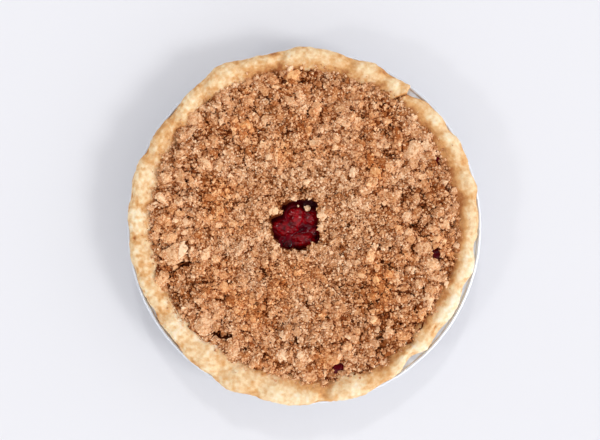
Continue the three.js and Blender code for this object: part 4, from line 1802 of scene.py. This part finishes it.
    def build_tree(self) -> tuple[NodeTree, dict[str, str]]:
        """Builds the tree that strews crumbs.

        Returns:
            The tree, and the identifier of each named input.
        """
        tree = bpy.data.node_groups.new("strew_crumbs", "GeometryNodeTree")
        sockets = {
            "Surface": "NodeSocketGeometry", "Earlier crumbs": "NodeSocketCollection",
            "Shapes": "NodeSocketCollection", "Material": "NodeSocketMaterial",
            "Room": "NodeSocketString", "Most per area": "NodeSocketFloat", "Smallest": "NodeSocketFloat",
            "Largest": "NodeSocketFloat", "Skew": "NodeSocketFloat", "Rise": "NodeSocketFloat",
            "Seed": "NodeSocketInt",
        }
        keys = {
            name: tree.interface.new_socket(name, in_out="INPUT", socket_type=kind).identifier
            for name, kind in sockets.items()
        }
        tree.interface.new_socket("Crumbs", in_out="OUTPUT", socket_type="NodeSocketGeometry")
        given = add_node(tree, "NodeGroupInput").outputs
        strewn = self.strew_points(tree, given)
        points = self.shade_points(tree, given, strewn.outputs["Points"])
        size = add_node(tree, "GeometryNodeInputNamedAttribute", {"Name": SIZE}, data_type="FLOAT")
        lift = add_node(
            tree, "ShaderNodeMath", {0: size.outputs["Attribute"], 1: given["Rise"]}, operation="MULTIPLY"
        )
        up = add_node(
            tree, "ShaderNodeVectorMath", {0: strewn.outputs["Normal"], "Scale": lift.outputs["Value"]},
            operation="SCALE",
        )
        lifted = add_node(
            tree, "GeometryNodeSetPosition", {"Geometry": points, "Offset": up.outputs["Vector"]}
        )
        shapes = add_node(
            tree, "GeometryNodeCollectionInfo",
            {"Collection": given["Shapes"], "Separate Children": True, "Reset Children": True},
        )
        turn = add_node(
            tree, "FunctionNodeRandomValue", {RANDOM_VECTOR_HIGH: (2 * math.pi,) * 3, RANDOM_SEED: 79},
            data_type="FLOAT_VECTOR",
        )
        pick = add_node(
            tree, "FunctionNodeRandomValue",
            {RANDOM_WHOLE_LOW: 0, RANDOM_WHOLE_HIGH: self.variants - 1, RANDOM_SEED: 80}, data_type="INT",
        )
        crumbs = add_node(
            tree, "GeometryNodeInstanceOnPoints",
            {
                "Points": lifted.outputs["Geometry"], "Instance": shapes.outputs["Instances"],
                "Pick Instance": True, "Instance Index": pick.outputs[RANDOM_WHOLE_RESULT],
                "Rotation": turn.outputs[RANDOM_VECTOR_RESULT], "Scale": size.outputs["Attribute"],
            },
        )
        joined = add_node(tree, "GeometryNodeRealizeInstances", {"Geometry": crumbs.outputs["Instances"]})
        dressed = add_node(
            tree, "GeometryNodeSetMaterial",
            {"Geometry": joined.outputs["Geometry"], "Material": given["Material"]},
        )
        add_node(tree, "NodeGroupOutput", {"Crumbs": dressed.outputs["Geometry"]})
        return tree, keys

    def strew(
        self, kind: CrumbKind, ground: Object, earlier: list[Object], streusel: Material, tree: NodeTree,
        keys: dict[str, str],
    ) -> Object:
        """Strews one kind of crumb and turns it into a plain mesh.

        Args:
            kind: size and spread of the crumbs.
            ground: the piece that they lie on.
            earlier: pieces already strewn, which they lie on too.
            streusel: their material.
            tree: the tree that strews.
            keys: the tree's input identifiers.

        Returns:
            The crumbs, as one piece.
        """
        scene_objects = bpy.context.scene.collection.objects
        heap = bpy.data.collections.new(kind.name + "_ground")
        for piece in earlier:
            heap.objects.link(piece)
        shapes = self.crumb_shapes(kind)
        carrier = bpy.data.objects.new(kind.name + "_carrier", ground.data)
        scene_objects.link(carrier)
        modifier = carrier.modifiers.new("strew", "NODES")
        modifier.node_group = tree
        values = {
            "Earlier crumbs": heap, "Shapes": shapes, "Material": streusel, "Room": kind.room.value,
            "Most per area": kind.crowd / MM**2, "Smallest": kind.smallest * MM,
            "Largest": kind.largest * MM, "Skew": kind.skew, "Rise": 0.5 - kind.sink, "Seed": kind.seed,
        }
        for name, value in values.items():
            modifier[keys[name]] = value
        depsgraph = bpy.context.evaluated_depsgraph_get()
        mesh = bpy.data.meshes.new_from_object(carrier.evaluated_get(depsgraph))
        carrier.modifiers.remove(modifier)
        bpy.data.objects.remove(carrier)
        for shape in list(shapes.objects):
            bpy.data.objects.remove(shape)
        bpy.data.collections.remove(shapes)
        bpy.data.collections.remove(heap)
        mesh.name = kind.name
        crumbs = bpy.data.objects.new(kind.name, mesh)
        for room in (Shade.MIDDLE, Shade.FINE):
            if room.value in mesh.attributes:
                mesh.attributes.remove(mesh.attributes[room.value])
            set_values(crumbs, room, np.full(len(mesh.vertices), kind.sandiness))
        scene_objects.link(crumbs)
        add_piece(crumbs)
        return crumbs

    def build(self, body: Object, clumps: Object, crust: Object, streusel: Material) -> None:
        """Strews every kind, the coarsest first, and last the few that lie on the crust.

        Args:
            body: the topping's fused body.
            clumps: its big clumps.
            crust: the pastry.
            streusel: the crumbs' material.
        """
        tree, keys = self.build_tree()
        kinds = (
            CrumbKind("pebble_crumbs", 5.0, 10.0, 0.02, Shade.COARSE, 17, 0.44, 11, 1.6),
            CrumbKind("middle_crumbs", 2.8, 5.4, 0.036, Shade.MIDDLE, 13, 0.42, 12, 1.4),
            CrumbKind("small_crumbs", 1.8, 3.4, 0.13, Shade.MIDDLE, 10, 0.3, 13, 1.3),
            CrumbKind("golden_grains", 1.3, 2.6, 0.24, Shade.FINE, 9, 0.25, 14, 1.2),
            CrumbKind("pale_grains", 1.1, 2.2, 0.26, Shade.FINE, 8, 0.2, 17, 1.2),
            CrumbKind("sandy_grains", 0.9, 1.8, 0.26, Shade.FINE, 8, 0.15, 18, 1.2),
        )
        laid = [clumps]
        for kind in kinds:
            laid.append(self.strew(kind, body, laid, streusel, tree, keys))
        leaning = CrumbKind("crumbs_on_the_lip", 2.4, 6.6, 0.16, Shade.COARSE, 15, 0.3, 16, 1.5)
        lying = self.strew(leaning, crust, [], streusel, tree, keys)
        spilt = CrumbKind("spilt_crumbs", 1.0, 2.4, 0.5, Shade.FINE, 9, 0.15, 15, 1.8)
        scattered = [*laid[1:], lying, self.strew(spilt, crust, [lying], streusel, tree, keys)]
        wanted = {Shade.TONE.value, Shade.TOAST.value, Shade.HOLLOW_SHADE.value}
        for crumbs in scattered:
            kept = crumbs.data.attributes
            for name in [layer.name for layer in kept if layer.data_type == "FLOAT"]:
                if name not in wanted:
                    kept.remove(kept[name])


# ---- Studio ----------------------------------------------------------------------


@dataclass(frozen=True)
class SoftLight:
    """A square soft light, given by where it stands and how bright it is."""

    name: str
    azimuth: float
    elevation: float
    distance: float  # metres
    side: float  # metres
    power: float  # watts

    def build(self, target: Vector) -> None:
        """Adds the light, turned to the target."""
        light = bpy.data.lights.new(self.name, "AREA")
        light.size = self.side
        light.energy = self.power
        turn, rise = math.radians(self.azimuth), math.radians(self.elevation)
        away = Vector((math.cos(turn) * math.cos(rise), math.sin(turn) * math.cos(rise), math.sin(rise)))
        lamp = bpy.data.objects.new(self.name, light)
        lamp.location = target + away * self.distance
        lamp.rotation_euler = (-away).to_track_quat("-Z", "Y").to_euler()
        bpy.context.scene.collection.objects.link(lamp)


@dataclass
class Studio:
    """Pale board, soft light and the camera straight above the pie."""

    camera_x: float = -2.96
    camera_y: float = 4.82
    camera_height: float = 900.0  # above the pie's edge
    focus_height: float = 30.0
    view_width: float = 412.8  # millimetres across the picture at the edge's height
    sensor_width: float = 36.0
    bright_low_sky: float = 1.53  # brightness of the surround near the horizon on its bright side
    dim_low_sky: float = 0.7  # and on the other sides
    high_sky: float = 0.62  # and high up
    zenith_share: float = 0.15  # of that is left straight overhead, where the camera stands
    sky_colour: str = "#FBFBFF"
    bright_side: float = -36.0  # azimuth of the bright side
    board_side: float = 6000.0
    lights: tuple[SoftLight, ...] = listed(
        SoftLight, ("window", -24, 44, 8.0, 2.0, 178), ("fill", 208, 44, 2.4, 0.34, 6),
        ("glint", 92, 52, 3.0, 0.28, 10),
    )

    def build_camera(self) -> None:
        """Adds the camera."""
        data = bpy.data.cameras.new("camera")
        data.sensor_width = self.sensor_width
        data.lens = self.sensor_width * self.camera_height / self.view_width
        camera = bpy.data.objects.new("camera", data)
        camera.location = (
            self.camera_x * MM, self.camera_y * MM, (self.camera_height + self.focus_height) * MM
        )
        bpy.context.scene.collection.objects.link(camera)
        bpy.context.scene.camera = camera

    def build_sky(self) -> None:
        """Sets a bright surround that is dimmer overhead."""
        world = bpy.data.worlds.new("studio")
        world.use_nodes = True
        tree = world.node_tree
        direction = add_node(tree, "ShaderNodeTexCoord").outputs["Generated"]
        height = add_node(tree, "ShaderNodeSeparateXYZ", {0: direction}).outputs["Z"]
        turn = math.radians(self.bright_side)
        toward = (math.cos(turn), math.sin(turn), 0)
        sided = add_node(tree, "ShaderNodeVectorMath", {0: direction, 1: toward}, operation="DOT_PRODUCT")
        low = add_node(
            tree, "ShaderNodeMapRange",
            {
                "Value": sided.outputs["Value"], "From Min": -0.15, "From Max": 0.4,
                "To Min": self.dim_low_sky, "To Max": self.bright_low_sky,
            },
            interpolation_type="SMOOTHSTEP",
        )
        strength = add_node(
            tree, "ShaderNodeMapRange",
            {
                "Value": height, "From Min": 0.4, "From Max": 0.92, "To Min": low.outputs["Result"],
                "To Max": self.high_sky,
            },
            interpolation_type="SMOOTHSTEP",
        )
        shaded = add_node(
            tree, "ShaderNodeMapRange",
            {
                "Value": height, "From Min": 0.94, "From Max": 0.98, "To Min": 1.0,
                "To Max": self.zenith_share,
            },
            interpolation_type="SMOOTHSTEP",
        )
        lit = add_node(
            tree, "ShaderNodeMath", {0: strength.outputs["Result"], 1: shaded.outputs["Result"]},
            operation="MULTIPLY",
        )
        sky = tree.nodes["Background"]
        set_sockets(sky, {"Color": linear_colour(self.sky_colour)})
        tree.links.new(lit.outputs["Value"], sky.inputs["Strength"])
        bpy.context.scene.world = world

    def build(self) -> None:
        """Adds the board, the lights and the camera."""
        half = self.board_side / 2
        corners = np.array([(-half, -half, 0), (half, -half, 0), (half, half, 0), (-half, half, 0)])
        board = make_mesh("board", corners, [np.array([[0, 1, 2, 3]])])
        board.data.materials.append(PaintedBoard().build())
        for light in self.lights:
            light.build(Vector((0, 0, 0)))
        self.build_sky()
        self.build_camera()
        bpy.context.scene.view_settings.view_transform = "Standard"


# ---- Assembly --------------------------------------------------------------------


def main() -> None:
    """Builds the pie piece by piece, then the studio round it."""
    logging.basicConfig(level=logging.INFO, format="%(message)s")
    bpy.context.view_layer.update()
    streusel = BakedStreusel().build()
    jelly = GlazedFruit("set_cherry_jelly", "#6E0212", "#460410", 0.07, 0.06).build()
    flesh = GlazedFruit("glazed_cherry_flesh", "#98000D", "#240005", 0.07, 0.07).build()
    FoilTin().build(AluminiumFoil().build())
    crust = PastryCrust().build(BakedPastry().build())
    CherryFilling().build(jelly, flesh)
    topping = CrumbTopping()
    body = topping.build(streusel)
    topping.build_juice(jelly)
    clumps = LumpMaker(topping).build(streusel)
    CrumbScatter().build(body, clumps, crust, streusel)
    Studio().build()


if __name__ == "__main__":
    main()
